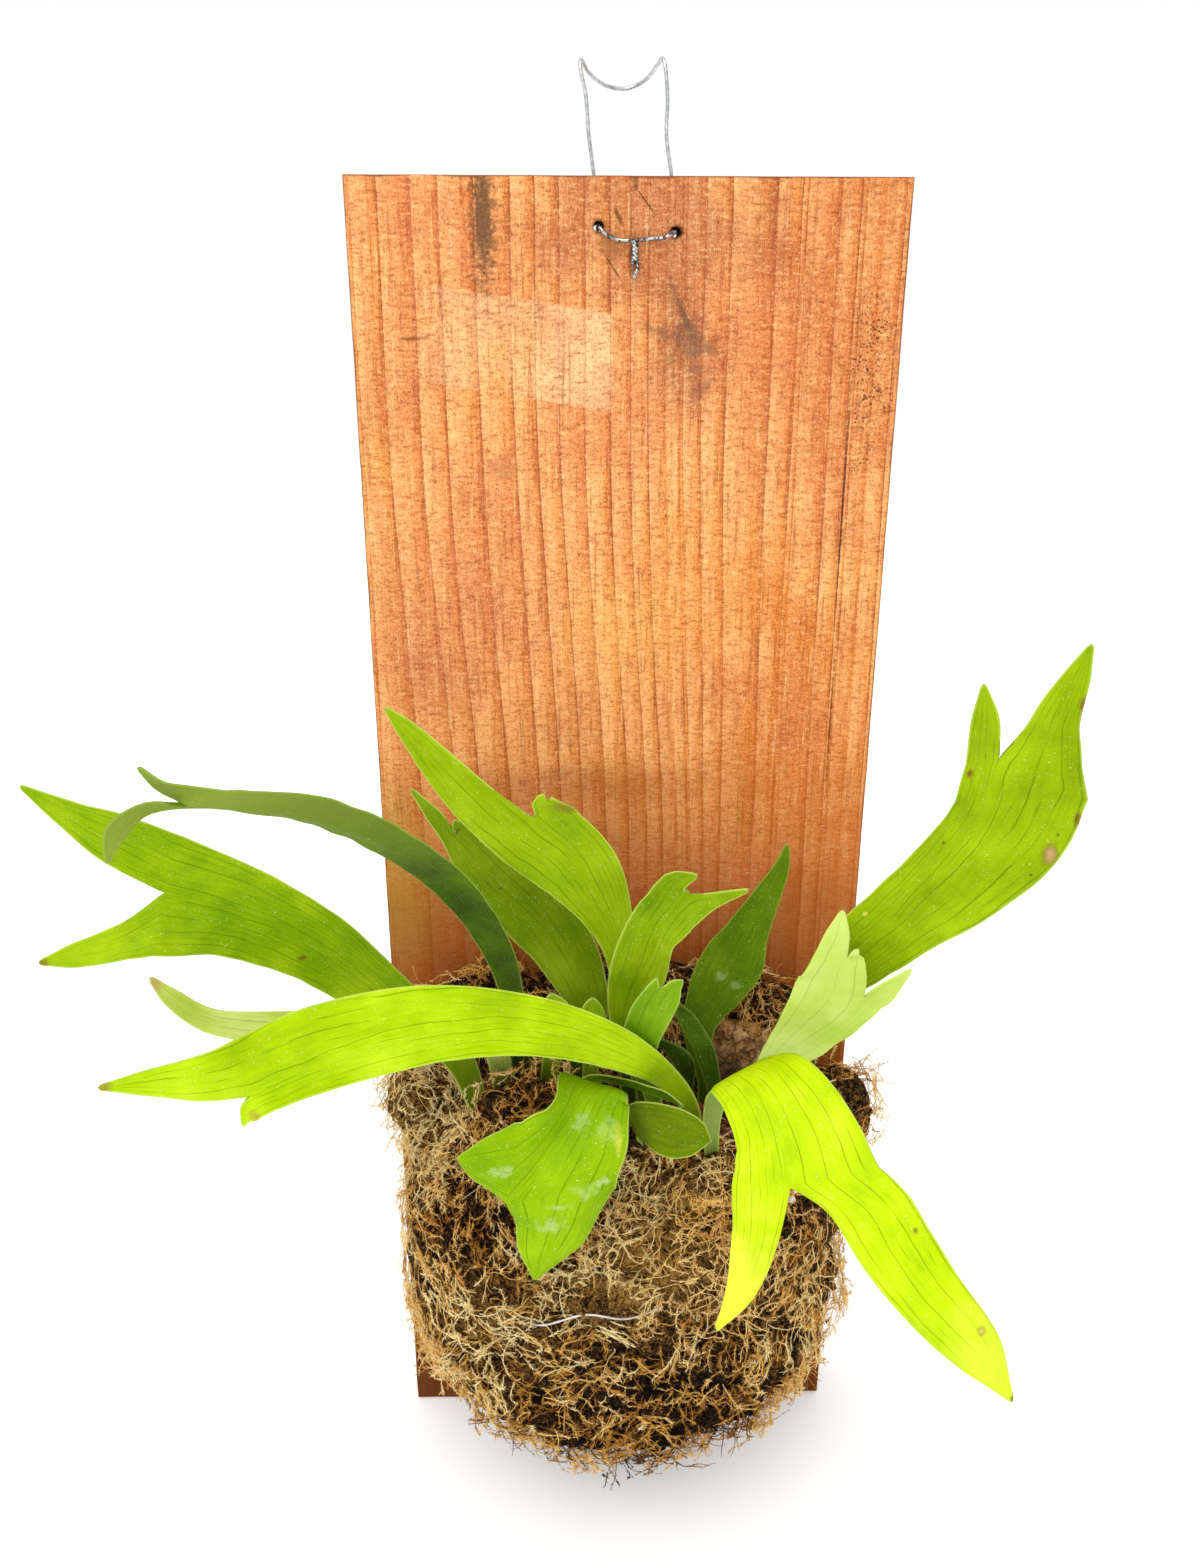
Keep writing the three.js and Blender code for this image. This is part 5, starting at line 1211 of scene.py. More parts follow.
paths = curl(
    CROWN_MIDDLE + way * CROWN_HALF_SIZE * 0.98, outward, heading, length, len(SCALE_OUTLINE),
    rng.normal(0, 0.5, len(way)), rng.uniform(0, 0.3, len(way)), rng.uniform(0.2, 1.0, len(way)),
    0 * length, rng)
width = rng.uniform(0.7, 1.6, (len(way), 1)) * SCALE_OUTLINE
scale_points, scale_quads, scale_caps = strand_mesh(paths, outward, width, SCALE_THICKNESS)

# Fern scales and rhizome bark: dark, dry and fibrous, red-brown where a scale catches the light.
bark, add = new_material("scaly_rhizome")
coords = add("TexCoord", out="Object")
cells = add("TexVoronoi", {"Vector": coords, "Scale": 420.0}, out="Color")
tone = add("SeparateXYZ", {0: cells}, out="X")
cloud = add("TexNoise", {"Vector": coords, "Scale": 240.0, "Detail": 4.0})
tone = add("Math", {0: tone, 1: 0.4, 2: cloud}, operation="MULTIPLY_ADD")
base = add("ValToRGB", {0: tone}, stops=[
    (0.40, "22130B"), (0.62, "4A2412"), (0.80, "7E3F1C"), (0.95, "A8703C")])
bumped = add("Bump", {"Height": cloud, "Strength": 0.8, "Distance": 0.0008})
surface = add("BsdfPrincipled", {
    "Base Color": base, "Roughness": 0.8, "Specular IOR Level": 0.25, "Normal": bumped})
add("OutputMaterial", {"Surface": surface})
crown = make_piece("scaly_crown", np.vstack([points, scale_points]), [
    quads, caps, scale_quads + len(points), scale_caps + len(points)], bark)
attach(crown, "root")
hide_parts("rhizome")


# Moss: a mound of dry sphagnum and sheet moss pressed round the roots. Under the loose outer strands it
# is a dark felt. The strands are stems with short leaves along both sides, matted over one another, with
# bare threads and roots between them, golden in places and dark brown in others, and darker with painted
# shade where they lie deep, in the clumps' hollows and towards the mound's foot.
MOSS_HALF_WIDTH, MOSS_RISE, MOSS_DROP, MOSS_DEPTH = 90.0, 120.0, 98.0, 86.0
MOSS_MIDDLE = np.array([0, -19.3, -138.0])
MOSS_SQUARENESS, MOSS_FULLNESS, MOSS_UNDERCUT = 2.2, 0.75, 0.06
MOSS_SHOULDER, MOSS_BROW, MOSS_RELIEF = 41.0, 8.0, 2.4
MOSS_SUNK, HEAP_SUNK, BOARD_GAP, MOSS_SIDE, MOSS_FOOT = 2.4, 2.2, 0.4, 87.0, -229.0
MOSS_ROWS, MOSS_COLUMNS, SEED_RINGS = 60, 130, 15
CLUMP_SIZE, CLUMP_HEIGHT, CLUMP_PAINTED_SHADE, FOOT_PAINTED_SHADE = 17.0, 2.4, 0.13, 0.24
THREADS, TUFTS_PER_PIECE, STRANDS_PER_TUFT, LONG_STRANDS = 1050, 415, 4, 110
LEAVES_PER_STRAND, LEAF_CORNERS, STEM_HEIGHT = 22, 4, 1.3
BLADE_CELL, CELL_STRIDES = 3.2, [1, 4096, 4096 ** 2]

# Heaps of loose moss round the crown, on the mound's shoulders and above it: middle, half sizes, and
# the share of the strands that grow on each.
HEAPS = np.array([
    (-64, -46, -86, 24, 20, 13, 0.030), (-50, -31, -40, 26, 10, 14, 0.024),
    (52, -33, -44, 22, 12, 15, 0.032), (84, -42, -84, 16, 18, 20, 0.028),
    (-10, -34, -46, 30, 12, 14, 0.014), (4, -88, -68, 9, 7, 9, 0.010), (20, -84, -80, 42, 11, 12, 0.040),
    (-32, -78, -72, 30, 13, 13, 0.034), (-80, -40, -76, 15, 18, 17, 0.026),
    (-36, -80, -57, 21, 9, 15, 0.026), (30, -93, -75, 12, 9, 11, 0.012), (-84, -26, -102, 8, 8, 9, 0.006),
    (-85, -26, -149, 8, 8, 9, 0.006), (-67, -27, -203, 9, 8, 8, 0.006), (84, -26, -107, 8, 8, 9, 0.006),
    (84, -26, -159, 8, 8, 9, 0.006), (65, -27, -205, 9, 8, 8, 0.006),
])

# Patches of the mound: middle, reach, how much lighter, and how much rustier. The darker ones are partly
# the moss's own colour and partly painted shade, in its hollows and low on the mound.
MOSS_PATCHES = [
    ((-62, -80, -104), 17, -0.42, 0.45), ((-80, -35, -95), 20, 0.10, 0.0),
    ((-60, -58, -84), 16, 0.12, 0.0), ((12, -97, -98), 26, 0.16, 0.20), ((27, -94, -86), 10, 0.16, 0.80),
    ((18, -102, -158), 18, -0.34, 0.1), ((14, -102, -114), 17, 0.26, 0.15),
    ((-60, -84, -150), 22, 0.12, 0.0), ((46, -86, -180), 18, -0.16, 0.1),
    ((-74, -36, -200), 16, -0.12, 0.1), ((84, -50, -112), 14, -0.10, 0.2),
    ((-80, -52, -72), 18, 0.24, 0.0), ((-55, -96, -135), 20, 0.10, 0.0),
    ((82, -55, -130), 22, 0.16, 0.50), ((62, -80, -98), 16, -0.32, 0.3), ((0, -95, -190), 30, -0.08, 0.0),
    ((-12, -103, -126), 14, 0.12, -0.1), ((-75, -60, -160), 22, 0.04, 0.3),
    ((45, -40, -40), 24, -0.16, 0.25), ((-45, -40, -45), 26, -0.18, 0.2),
    ((0, -70, -232), 34, -0.34, 0.1), ((40, -98, -120), 10, 0.18, 0.40),
    ((-30, -100, -165), 14, -0.16, 0.0), ((-36, -86, -50), 12, -0.14, 0.4),
]


def squarish(x, y):
    """The reach of a point in a disc with squarish corners: (|x|^n + |y|^n)^(1/n)."""
    return (np.abs(x) ** MOSS_SQUARENESS + np.abs(y) ** MOSS_SQUARENESS) ** (1 / MOSS_SQUARENESS)


def clump_height(spot):
    """How far the moss stands out or in at a place, in clumps and hollows."""
    return CLUMP_HEIGHT * (ripple(spot, CLUMP_SIZE, 91) + 0.5 * ripple(spot, CLUMP_SIZE * 0.45, 92))


def patch_shade(spot):
    """How much lighter and how much rustier the moss is at a place: painted shade from the clumps' ripple,
    lighter on the humps and darker in the hollows, and darker towards the foot, and each patch's amounts
    times the bell exp(-d^2 / (2 reach^2)) of the distance to its middle."""
    light_and_shade = CLUMP_PAINTED_SHADE * ripple(spot, CLUMP_SIZE, 91) - FOOT_PAINTED_SHADE * steps(-140, -215, spot[..., 2])
    rustier = 0 * light_and_shade
    for middle, reach, light, rust in MOSS_PATCHES:
        near = np.exp(-((spot - middle) ** 2).sum(-1) / (2 * reach ** 2))
        light_and_shade, rustier = light_and_shade + light * near, rustier + rust * near
    return light_and_shade, rustier


def moss_spot(ring, angle):
    """The mound's skin at a share of the way to its rim and an angle round it: a squarish disc scaled to
    the mound's width, rise and drop, standing out by the cosine of a quarter turn times the ring, and
    swollen by lumps, which are a product of a sine and a cosine plus 0.6 of a finer sine."""
    reach = np.sin(np.pi / 2 * ring) ** MOSS_FULLNESS
    out = np.maximum(0, np.cos(np.pi / 2 * ring)) ** MOSS_FULLNESS
    c, s = np.cos(angle), np.sin(angle)
    scale = reach / squarish(c, s)
    across, up = c * scale, s * scale
    tuck = 1 - MOSS_UNDERCUT * (1 - steps(0, 0.35, out))
    sink = MOSS_SHOULDER * steps(0.02, 0.4, out) - MOSS_BROW * steps(0.5, 0.9, out)
    lumps = np.sin(13 * across + 4 * up) * np.cos(11 * up - 3 * across)
    lumps = lumps + 0.6 * np.sin(23 * up + 17 * across + 1)
    swell = MOSS_RELIEF * lumps * steps(0, 0.25, out)
    flat = np.stack([across * MOSS_HALF_WIDTH * tuck, 0 * across,
                     np.where(up > 0, up * (MOSS_RISE - sink), up * MOSS_DROP) * tuck], -1)
    spot = flat + unit(flat) * (reach * swell)[..., None]
    spot[..., 1] -= MOSS_DEPTH * out + swell * out
    return spot + MOSS_MIDDLE


def moss_frame(ring, angle):
    """A point of the mound's skin with its outward direction and the area that one step of ring and angle
    covers there, from small steps both ways."""
    step = 1e-3
    by_ring = moss_spot(ring + step, angle) - moss_spot(ring - step, angle)
    by_angle = moss_spot(ring, angle + step) - moss_spot(ring, angle - step)
    cross = np.cross(by_ring, by_angle)
    return moss_spot(ring, angle), unit(cross), np.linalg.norm(cross, axis=-1)


ring = np.linspace(0, 1, MOSS_ROWS + 1)[1:, None]
angle = np.linspace(0, 2 * np.pi, MOSS_COLUMNS, endpoint=False)
ring, angle = np.broadcast_arrays(ring, angle)
spot, outward, _ = moss_frame(np.clip(ring, 0.004, 0.996), angle)
rough = MOSS_SUNK + 0.9 * ripple(spot, 6, 51) + 0.5 * ripple(spot, 3.2, 52) - clump_height(spot)
spot = spot - outward * (rough * steps(1.0, 0.9, ring) + 0.8)[..., None]
spot[..., 1] = np.minimum(spot[..., 1], MOSS_MIDDLE[1])
points = spot.reshape(-1, 3)
top = moss_spot(np.array([0.002]), np.array([0.0])) + [0, MOSS_SUNK, 0]
back = np.insert(points[-MOSS_COLUMNS:, [0, 2]].mean(0), 1, MOSS_MIDDLE[1])
felt_points = [points, top, back[None]]
quads, caps = [[faces[:, ::-1]] for faces in ring_faces(MOSS_ROWS, MOSS_COLUMNS)]
n = len(points) + 2
for x, y, z, *half, _ in HEAPS:
    half = np.array(half) - HEAP_SUNK
    heap_points = [x, y, z] + ball * half
    heap_points = heap_points + ball * ripple(heap_points, 5, 53)[:, None]
    heap_points[:, 1] = np.minimum(heap_points[:, 1], MOSS_MIDDLE[1])
    felt_points += [heap_points, [x, y, z] + poles * half]
    for found, faces in zip((quads, caps), ring_faces(CROWN_ROWS, CROWN_COLUMNS, n)):
        found.append(faces)
    n += len(ball) + 2

# Moss felt: matted fibres in swirls, nearly black to tawny, between the strands. Its tint carries
# painted shade, darker in the mound's hollows and towards its foot.
felt, add = new_material("dark_moss_felt")
coords = add("TexCoord", out="Object")
tint_and_shade = add("Attribute", out="Fac", attribute_name="tint_and_shade")
swirl = add("TexNoise", {
    "Vector": coords, "Scale": 190.0, "Detail": 5.0, "Roughness": 0.72, "Distortion": 2.6})
strands = add("TexNoise", {
    "Vector": coords, "Scale": 620.0, "Detail": 3.0, "Roughness": 0.7, "Distortion": 2.0})
cloud = add("Math", {0: strands, 1: 0.8, 2: swirl}, operation="MULTIPLY_ADD")
tone = add("Math", {0: tint_and_shade, 1: 0.3, 2: cloud}, operation="MULTIPLY_ADD")
tone = add("Math", {0: tone, 1: 0.2}, operation="SUBTRACT")
base = add("ValToRGB", {0: tone}, stops=[
    (0.60, "120A05"), (0.68, "3E2812"), (0.76, "7A5426"), (0.90, "C89A50")])
bumped = add("Bump", {"Height": cloud, "Strength": 1.0, "Distance": 0.003})
surface = add("BsdfPrincipled", {
    "Base Color": base, "Roughness": 0.95, "Specular IOR Level": 0.1, "Normal": bumped})
add("OutputMaterial", {"Surface": surface})
felt_points = np.vstack(felt_points)
mound = make_piece("moss_felt_mound", felt_points, [np.concatenate(quads), np.concatenate(caps)], felt,
                   values={"tint_and_shade": patch_shade(felt_points)[0]})
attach(mound, "root")
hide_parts("moss_mound")

# Dry moss: matt, tawny and a little see-through. Tint and rust are held by each strand.
moss, add = new_material("dry_sphagnum")
coords = add("TexCoord", out="Object")
# Painted shade: the tint each strand holds is darker where it lies deep, in the hollows and towards the foot.
tint_and_shade = add("Attribute", out="Fac", attribute_name="tint_and_shade")
rust = add("Attribute", out="Fac", attribute_name="rust")
mottle = add("TexNoise", {"Vector": coords, "Scale": 900.0, "Detail": 2.0})
tone = add("Math", {0: mottle, 1: 0.30, 2: tint_and_shade}, operation="MULTIPLY_ADD")
base = add("ValToRGB", {0: tone}, stops=[
    (0.12, "1E1008"), (0.30, "835422"), (0.50, "D69C42"), (0.70, "F8CC6A"),
    (0.95, "FFF2BC")])
rusty = add("ValToRGB", {0: tone}, stops=[
    (0.12, "200A04"), (0.46, "96440E"), (0.76, "EC9418"), (1.0, "FFCC58")])
base = add("Mix", {0: rust, 6: base, 7: rusty}, **RGBA)
dry = add("BsdfPrincipled", {"Base Color": base, "Roughness": 0.85, "Specular IOR Level": 0.2})
glow = add("BsdfTranslucent", {"Color": base})
surface = add("MixShader", {0: 0.25, 1: dry, 2: glow})
add("OutputMaterial", {"Surface": surface})

# The strands keep out of the blades and of the stretch where the binding line shows.
LINE_SHOWS_AT, LINE_SHOWS_OVER = np.array([-16.5, -105.0, -124.8]), 13.0
line_room = np.stack(np.meshgrid(np.arange(-14, 15), [0, -3, -6, -9], [-2, 0, 2, 4]), -1)
line_room = LINE_SHOWS_AT + line_room.reshape(-1, 3)
kept_clear = np.vstack([blade_points, line_room])
blade_cells = np.unique(np.floor(kept_clear / BLADE_CELL).astype(int) @ CELL_STRIDES)


def clear_of_blades(paths):
    """Whether each strand, but for its first point, which is under the surface, keeps out of the small cells
    of space that hold points of the fronds' blades and of the line's room."""
    cells = np.floor(paths[:, 1:] / BLADE_CELL).astype(int) @ CELL_STRIDES
    return ~np.isin(cells, blade_cells).any(1)


def seed_moss(count, rng):
    """Places on the mound's skin, with their outward directions: random ones are put in order along narrow
    rings, and picked at even steps of the area that they stand for, more of them in front."""
    ring, angle = rng.uniform((0.02, 0.0), (0.985, 2 * np.pi), (12 * count, 2)).T
    spot, outward, area = moss_frame(ring, angle)
    order = np.lexsort((angle, np.floor(ring * SEED_RINGS)))
    total = np.cumsum((area * (0.55 + 0.45 * steps(-20, -60, spot[:, 1])))[order])
    picked = order[np.searchsorted(total, (np.arange(count) + rng.uniform()) / count * total[-1])]
    return spot[picked], outward[picked]


def leaves_on(paths, count, outward, length, width, rng):
    """Small pointed leaves all round strands: each starts at a random share of its strand's path, between
    two rows, and leans forward from a random direction round the stem."""
    strands, rows, _ = paths.shape
    spot = rng.uniform(0.04, 0.97, (strands, count)) * (rows - 1)
    row = spot.astype(int)
    each = np.arange(strands)[:, None]
    low, high = paths[each, row], paths[each, row + 1]
    base = mix(low, high, (spot - row)[..., None])
    forward = unit(high - low)
    side = unit(np.cross(outward[:, None], forward))
    up = np.cross(forward, side)
    turn = np.pi * rng.integers(0, 2, (strands, count, 1)) + rng.normal(0, 0.6, (strands, count, 1))
    radial = side * np.cos(turn) + up * np.sin(turn)
    lean = rng.uniform(0.7, 1.4, (strands, count, 1))
    size = rng.uniform(0.6, 1.2, (strands, count)) * (1 - 0.5 * (spot / rows) ** 3)
    return spikes(base.reshape(-1, 3), (radial + forward * lean).reshape(-1, 3),
                  np.cross(forward, radial).reshape(-1, 3), (size * length[:, None]).ravel(),
                  (size * width[:, None]).ravel())


def seed_with_heaps(count, rng):
    """Places for strands on the mound and, by their shares, on the upper and front faces of the heaps."""
    shares = HEAPS[:, 6]
    spot, outward = seed_moss(round(count * (1 - shares.sum())), rng)
    for x, y, z, *half, share in HEAPS:
        way = unit(rng.normal(size=(4 * count, 3)))
        way = way[(way[:, 2] > -0.5) & (way[:, 1] < 0.4)][:round(count * share)]
        spot = np.vstack([spot, [x, y, z] + way * half])
        outward = np.vstack([outward, unit(way / half)])
    return spot, outward


def matted(start, outward, heading, length, rows, rng):
    """Paths of strands matted over the moss: curled by random bends, sways, lifts and droops."""
    count = len(start)
    return curl(start, outward, heading, length, rows, rng.normal(0, 1.7, count), rng.uniform(0, 0.8, count),
                rng.uniform(0.0, 0.7, count), rng.uniform(0, 0.4, count), rng)


def settle(paths):
    """Strands pressed in where they pass the mound's sides, to 0.35 of what they stand out, and its foot, to
    0.4, and kept off the board: over it no point lies behind its front face, and beside it none behind 0.6
    of its thickness."""
    x, y, z = paths[..., 0], paths[..., 1], paths[..., 2]
    pressed = 0.65 * steps(-100, -130, z)
    x -= np.sign(x) * pressed * np.clip(np.abs(x) - MOSS_SIDE, 0, None)
    z += 0.6 * np.clip(MOSS_FOOT - z, 0, None)
    over = (np.abs(x) < half_wide + 0.6) & (np.abs(z) < half_tall + 0.6)
    limit = np.where(over, -BOARD_THICKNESS - BOARD_GAP, -BOARD_THICKNESS * 0.6)
    paths[..., 1] = np.minimum(y, limit)
    return paths


def moss_piece(name, paths, outward, radius, tint_and_shade, rust,
               leaves=0, leaf_length=None, leaf_width=None, rng=None):
    """A piece of many strands and of the leaves along them, tinted by strand, by clump and by patch of the
    mound, with painted shade darker at each stem's base and in the hollows, and paler towards the tips."""
    kept = clear_of_blades(paths)
    paths, outward, tint_and_shade, rust, radius = paths[kept], outward[kept], tint_and_shade[kept], rust[kept], radius[kept]
    light_and_shade, rustier = patch_shade(paths[:, 0])
    tint_and_shade, rust = tint_and_shade + light_and_shade, rust + rustier
    paths = settle(paths)
    points, quads, triangles = strand_mesh(paths, outward, radius, STEM_HEIGHT)
    rows = paths.shape[1]
    # Painted shade: each stem darkens towards its base, deep in the moss, and pales towards its tip.
    share = np.linspace(-0.06, 0.12, rows)
    tints_and_shade = (tint_and_shade[:, None, None] + share[None, :, None] + np.zeros((1, 1, 3))).ravel()
    rusts = np.repeat(np.clip(rust, 0, 1), rows * 3)
    if leaves:
        leaf_points, leaf_faces = leaves_on(paths, leaves, outward, leaf_length[kept], leaf_width[kept], rng)
        triangles = np.concatenate([triangles, leaf_faces + len(points)])
        points = np.vstack([points, leaf_points])
        own = np.repeat(tint_and_shade, leaves) + rng.normal(0.02, 0.08, len(tint_and_shade) * leaves)
        tints_and_shade = np.concatenate([tints_and_shade, (own[:, None] + [0, 0, 0.03, 0.12]).ravel()])
        rusts = np.concatenate([rusts, np.repeat(np.clip(rust, 0, 1), leaves * LEAF_CORNERS)])
    piece = make_piece(name, points, [quads, triangles], moss, values={"tint_and_shade": tints_and_shade, "rust": rusts})
    piece.data.polygons.foreach_set("use_smooth", np.arange(len(piece.data.polygons)) < len(quads))
    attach(piece, "root")


# Bare threads: old stems and roots without leaves, in a tangle close to the felt.
rng = np.random.default_rng(60)
spot, outward = seed_with_heaps(THREADS, rng)
count = len(spot)
heading = unit(np.cross(outward, rng.normal(size=(count, 3))))
length = rng.uniform(7, 18, count)
start = spot + outward * (rng.uniform(-3.4, 0.2, count) + clump_height(spot))[:, None]
paths = matted(start, outward, heading, length, 7, rng)
radius = rng.uniform(0.12, 0.24, (count, 1)) * np.array([1, 1, 1, 0.95, 0.9, 0.8, 0.35])
moss_piece("moss_threads", paths, outward, radius, rng.normal(0.34, 0.16, count),
           rng.uniform(-0.1, 0.35, count) ** 2)

# Leafy strands: stems with short pointed leaves that stand forward all round them, in tufts that lie
# the way the moss was combed as it was packed. Painted shade: the deeper a tuft lies, the darker it is.
for number in range(3):
    rng = np.random.default_rng(70 + number)
    spot, outward = seed_with_heaps(TUFTS_PER_PIECE, rng)
    comb = np.stack([ripple(spot, 60, 95), ripple(spot, 60, 96), ripple(spot, 60, 97) - 0.35], -1)
    comb = comb + 0.45 * rng.normal(size=comb.shape)
    level, tone = rng.uniform(-2.4, 1.6, len(spot)), rng.normal(0, 0.15, len(spot))
    spot, outward, comb, level, tone = [
        np.repeat(held, STRANDS_PER_TUFT, axis=0) for held in (spot, outward, comb, level, tone)]
    count, rows = len(spot), 5
    aside = rng.normal(0, 3.0, (count, 3))
    spot = spot + aside - outward * (aside * outward).sum(1, keepdims=True)
    comb = comb + 0.35 * rng.normal(size=comb.shape)
    heading = unit(np.cross(outward, np.cross(comb, outward)))
    level = level + rng.normal(0, 0.5, count)
    length = rng.uniform(7, 15, count)
    start = spot + outward * (level + clump_height(spot))[:, None]
    paths = matted(start, outward, heading, length, rows, rng)
    radius = rng.uniform(0.14, 0.24, (count, 1)) * np.linspace(1, 0.4, rows)
    moss_piece(f"moss_leafy_strands_{number + 1}", paths, outward, radius,
               0.66 + tone + 0.09 * level + rng.normal(0, 0.08, count), rng.uniform(-0.2, 0.35, count) ** 2,
               LEAVES_PER_STRAND, rng.uniform(1.2, 2.6, count), rng.uniform(0.34, 0.5, count), rng)

# Long strands: loose pale ones that lie over the front of the mound. Each walks over the skin, its ring and
# angle changing evenly with a sway.
rng = np.random.default_rng(79)
count, rows = LONG_STRANDS, 14
share = np.linspace(0, 1, rows)
start, change, sway, phase = rng.uniform(
    [[0.18, 0], [-0.28, -0.55], [0.01, 0.02], [0, 0]],
    [[0.88, 2 * np.pi], [0.28, 0.55], [0.04, 0.09], [6.3, 6.3]], (count, 4, 2)).transpose(1, 2, 0)[..., None]
ring, angle = start + change * share + sway * np.sin(phase + 7 * share)
spot, outward, _ = moss_frame(np.clip(ring, 0.02, 0.97), angle)
above = clump_height(spot) + rng.uniform(0.6, 2.2, (count, 1)) + 1.2 * np.sin(phase[0] + 5 * share)
radius = rng.uniform(0.16, 0.26, (count, 1)) * np.linspace(1, 0.5, rows)
moss_piece("moss_long_strands", spot + outward * above[..., None], outward[:, 0], radius,
           rng.normal(0.78, 0.12, count), rng.uniform(-0.2, 0.3, count) ** 2, 2 * LEAVES_PER_STRAND,
           rng.uniform(1.0, 1.8, count), rng.uniform(0.3, 0.46, count), rng)

# Tufts: loose ends that stand out from the mound's outline. Root, heading, count, length, tint, rust.
TUFTS = [
    ((-90, -32, -80), (-1, -0.3, 0.1), 14, 13, 0.60, 0.0),
    ((-88, -30, -188), (-0.4, -0.1, -0.9), 8, 22, 0.75, 0.5),
    ((-88, -28, -166), (-1, -0.1, 0.1), 7, 11, 0.75, 0.4),
    ((-44, -68, -216), (0.25, -0.1, -1), 9, 17, 0.30, 0.2),
    ((-62, -60, -206), (-0.3, 0, -1), 12, 11, 0.60, 0.1),
    ((-1, -78, -226), (0, 0, -1), 14, 12, 0.45, 0.0), ((22, -78, -226), (0.1, 0, -1), 9, 14, 0.72, 0.3),
    ((52, -72, -208), (0.3, 0, -1), 10, 13, 0.50, 0.2),
    ((78, -45, -206), (1, 0, -0.4), 10, 17, 0.70, 0.4),
    ((86, -36, -150), (1, -0.1, 0.2), 8, 15, 0.35, 0.4),
    ((90, -36, -74), (1, -0.1, 0.15), 14, 18, 0.45, 0.1),
    ((90, -36, -92), (0.8, -0.1, -0.6), 10, 16, 0.45, 0.1),
    ((84, -44, -120), (1, 0, -0.3), 8, 12, 0.60, 0.4),
    ((-78, -40, -206), (-0.6, 0, -0.8), 10, 12, 0.60, 0.2),
    ((52, -30, -36), (0.4, -0.2, 1), 12, 13, 0.35, 0.2),
    ((-46, -28, -30), (-0.2, -0.2, 1), 10, 12, 0.30, 0.2),
]
TUFT_ROWS = 10
rng = np.random.default_rng(80)
counts = [tuft[2] for tuft in TUFTS]
root, way, length, tint_and_shade, rust = [
    np.repeat(np.array([tuft[i] for tuft in TUFTS], float), counts, axis=0) for i in (0, 1, 3, 4, 5)]
count = len(root)
root = root + rng.normal(0, 2.4, (count, 3))
way = unit(unit(way) + 0.38 * rng.normal(size=(count, 3)))
outward = unit(np.cross(way, rng.normal(size=(count, 3))))
length = length * rng.uniform(0.6, 1.15, count)
paths = curl(root, outward, way, length, TUFT_ROWS, rng.normal(0, 0.7, count),
             rng.uniform(0, 0.5, count), 0 * length, rng.uniform(0, 0.5, count), rng)
radius = rng.uniform(0.16, 0.28, (count, 1)) * np.linspace(1, 0.4, TUFT_ROWS)
moss_piece("moss_tufts", paths, outward, radius, tint_and_shade + rng.normal(0, 0.1, count), rust, LEAVES_PER_STRAND,
           rng.uniform(0.8, 1.7, count), rng.uniform(0.3, 0.5, count), rng)


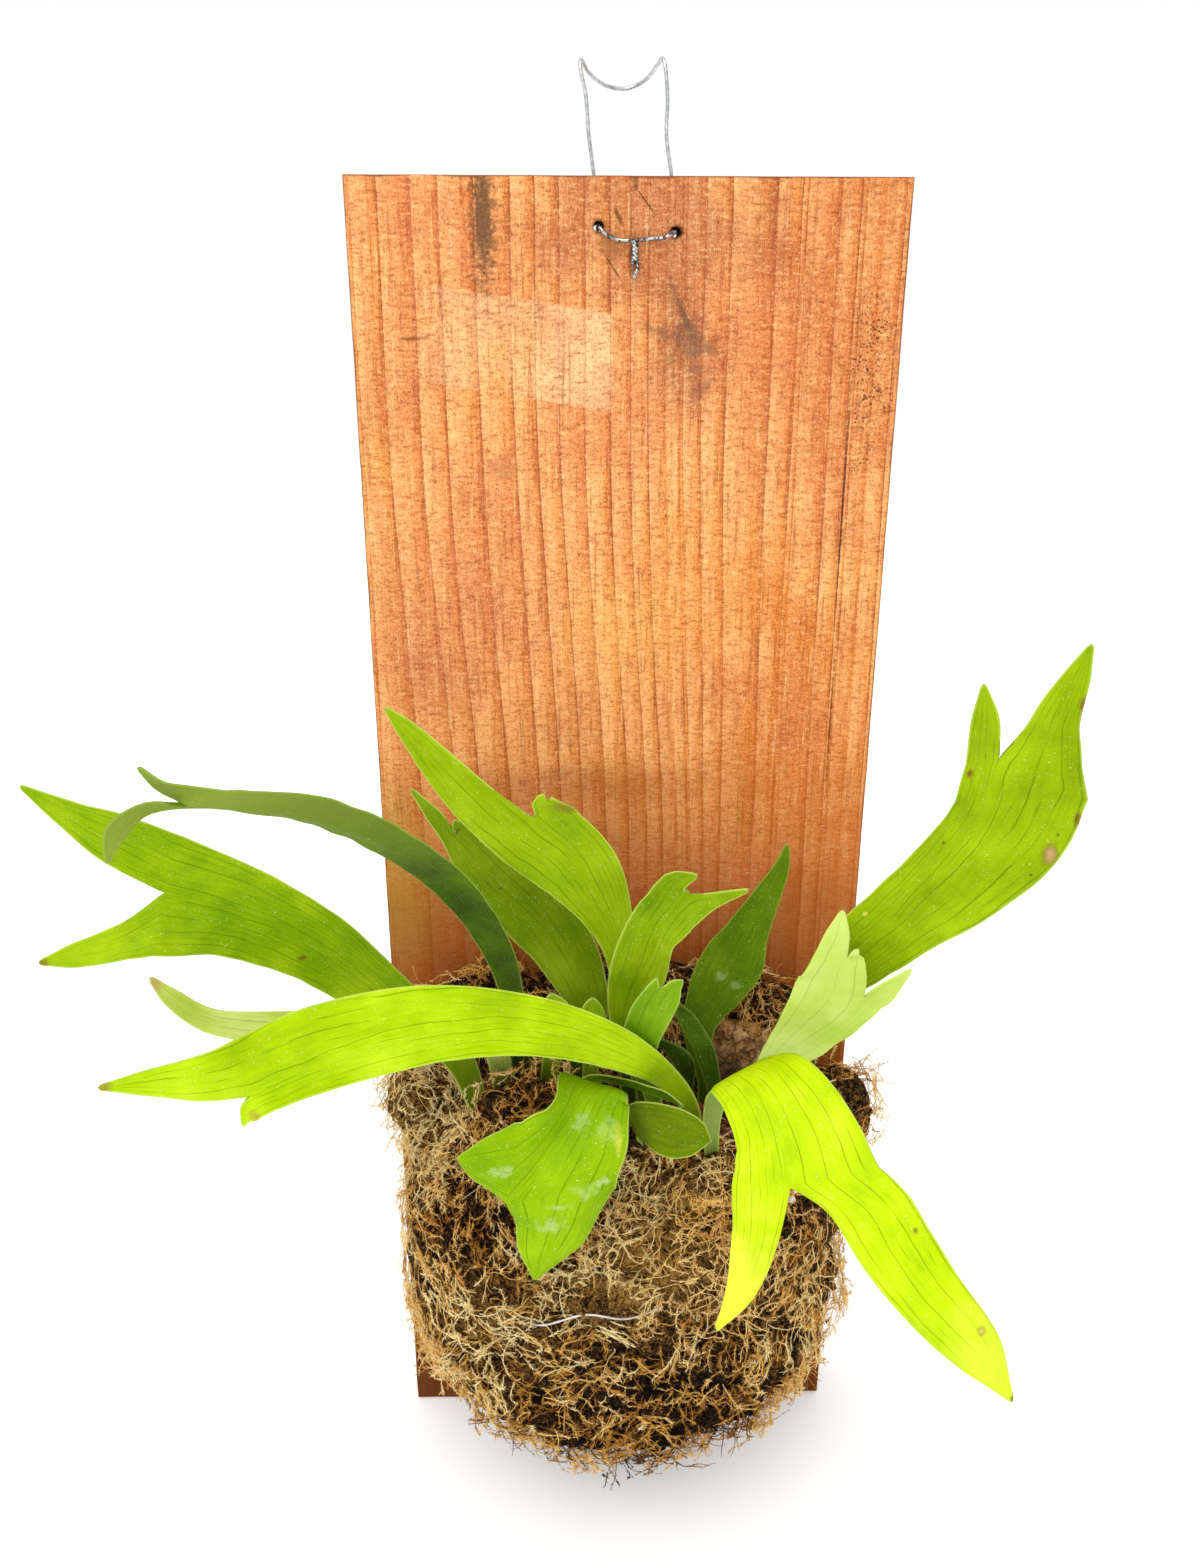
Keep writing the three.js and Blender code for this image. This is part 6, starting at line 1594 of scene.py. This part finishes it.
# Binding line: one clear nylon fishing line that ties the moss down. It turns round each tack in order
# and crosses the mound between them, sunk in the moss but for a short stretch in front.
LINE_RADIUS, LINE_SIDES, LINE_LEVEL = 0.4, 6, -21.5
LOOP_RADIUS, LEAD_REACH = 1.65, 4.5
TACK_ANGLES = np.radians([163, 15, 187, -13, 222, -44])
LOOP_TURN = np.radians(np.linspace(90, 630, 14))
LINE_SHOWS_ON, LINE_STANDS_OUT, LINE_SUNK = 2, 3.1, 7.5
rim = np.stack([np.cos(TACK_ANGLES), np.sin(TACK_ANGLES)], -1)
rim = rim / squarish(*rim.T)[:, None]
share = 0.5 - 0.5 * np.cos(np.pi * np.arange(1, 18) / 18)
route = []
for number, (x, z) in enumerate(TACKS):
    if number:
        across, up = mix(rim[number - 1], rim[number], share[:, None]).T
        ring = np.arcsin(squarish(across, up) ** (1 / MOSS_FULLNESS)) * 2 / np.pi
        span, outward, _ = moss_frame(ring, np.arctan2(up, across))
        off = (span[:, 0] - LINE_SHOWS_AT[0]) / LINE_SHOWS_OVER
        near = (number == LINE_SHOWS_ON) * np.exp(-off ** 2 / 2)
        span[:, 2] += near * (LINE_SHOWS_AT[2] - span[:, 2])
        route += [*(span + outward * (near * LINE_STANDS_OUT - (1 - near) * LINE_SUNK)[:, None]),
                  (x, LINE_LEVEL - 1, z + LEAD_REACH)]
    route += list(np.stack([
        x + LOOP_RADIUS * np.cos(LOOP_TURN), LINE_LEVEL + np.linspace(0.6, -0.6, len(LOOP_TURN)),
        z + LOOP_RADIUS * np.sin(LOOP_TURN)], -1))
    if number < len(TACKS) - 1:
        route.append((x, LINE_LEVEL - 1, z - LEAD_REACH))
route = np.array(route)
path = through(route, np.linspace(0, 1, 5 * len(route)))
points, *faces = sweep(path, LINE_RADIUS, LINE_SIDES)

# Nylon monofilament: smooth and partly clear, painted a milky white that partly stands in for the
# highlights along the clear line.
nylon, add = new_material("clear_nylon_line")
coords = add("TexCoord", out="Object")
haze = add("TexNoise", {"Vector": coords, "Scale": 400.0})
base = add("ValToRGB", {0: haze}, stops=[(0.4, "E4E2DA"), (0.6, "FFFFFF")])
surface = add("BsdfPrincipled", {
    "Base Color": base, "Roughness": 0.25, "IOR": 1.53, "Transmission Weight": 0.4})
add("OutputMaterial", {"Surface": surface})
line = make_piece("nylon_binding_line", points, faces, nylon)
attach(line, "root")
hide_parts("binding_line")


# Perlite: three crumbs of white volcanic glass, puffed up by heat into a matt foam. They come from the
# potting mix and lie loose, caught among the strands of the moss.
PERLITE = [((-53.5, -51.5, -70.0), 1.5), ((60.5, -83.0, -94.0), 1.5), ((62.0, -82.5, -90.5), 1.1)]
CRUMB_ROWS, CRUMB_COLUMNS = 12, 22
foam, add = new_material("perlite_foam")
coords = add("TexCoord", out="Object")
bubbles = add("TexVoronoi", {"Vector": coords, "Scale": 2200.0}, out="Distance")
base = add("ValToRGB", {0: bubbles}, stops=[(0.1, "C9C4B6"), (0.5, "FDFCF8")])
bumped = add("Bump", {"Height": bubbles, "Strength": 0.6, "Distance": 0.0003})
surface = add("BsdfPrincipled", {"Base Color": base, "Roughness": 0.9, "Normal": bumped})
add("OutputMaterial", {"Surface": surface})
crumb_ball, faces = globe(CRUMB_ROWS, CRUMB_COLUMNS), ring_faces(CRUMB_ROWS, CRUMB_COLUMNS)
for number, (centre, size) in enumerate(PERLITE, 1):
    lump = size * (1 + 0.16 * ripple(crumb_ball, 1.3, 90 + number))
    points = np.vstack([crumb_ball * lump[:, None], poles * size]) + centre
    crumb = make_piece(f"perlite_crumb_{number}", points, faces, foam)
    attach(crumb, "root")


# The box of this scene, in metres.
low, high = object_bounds()
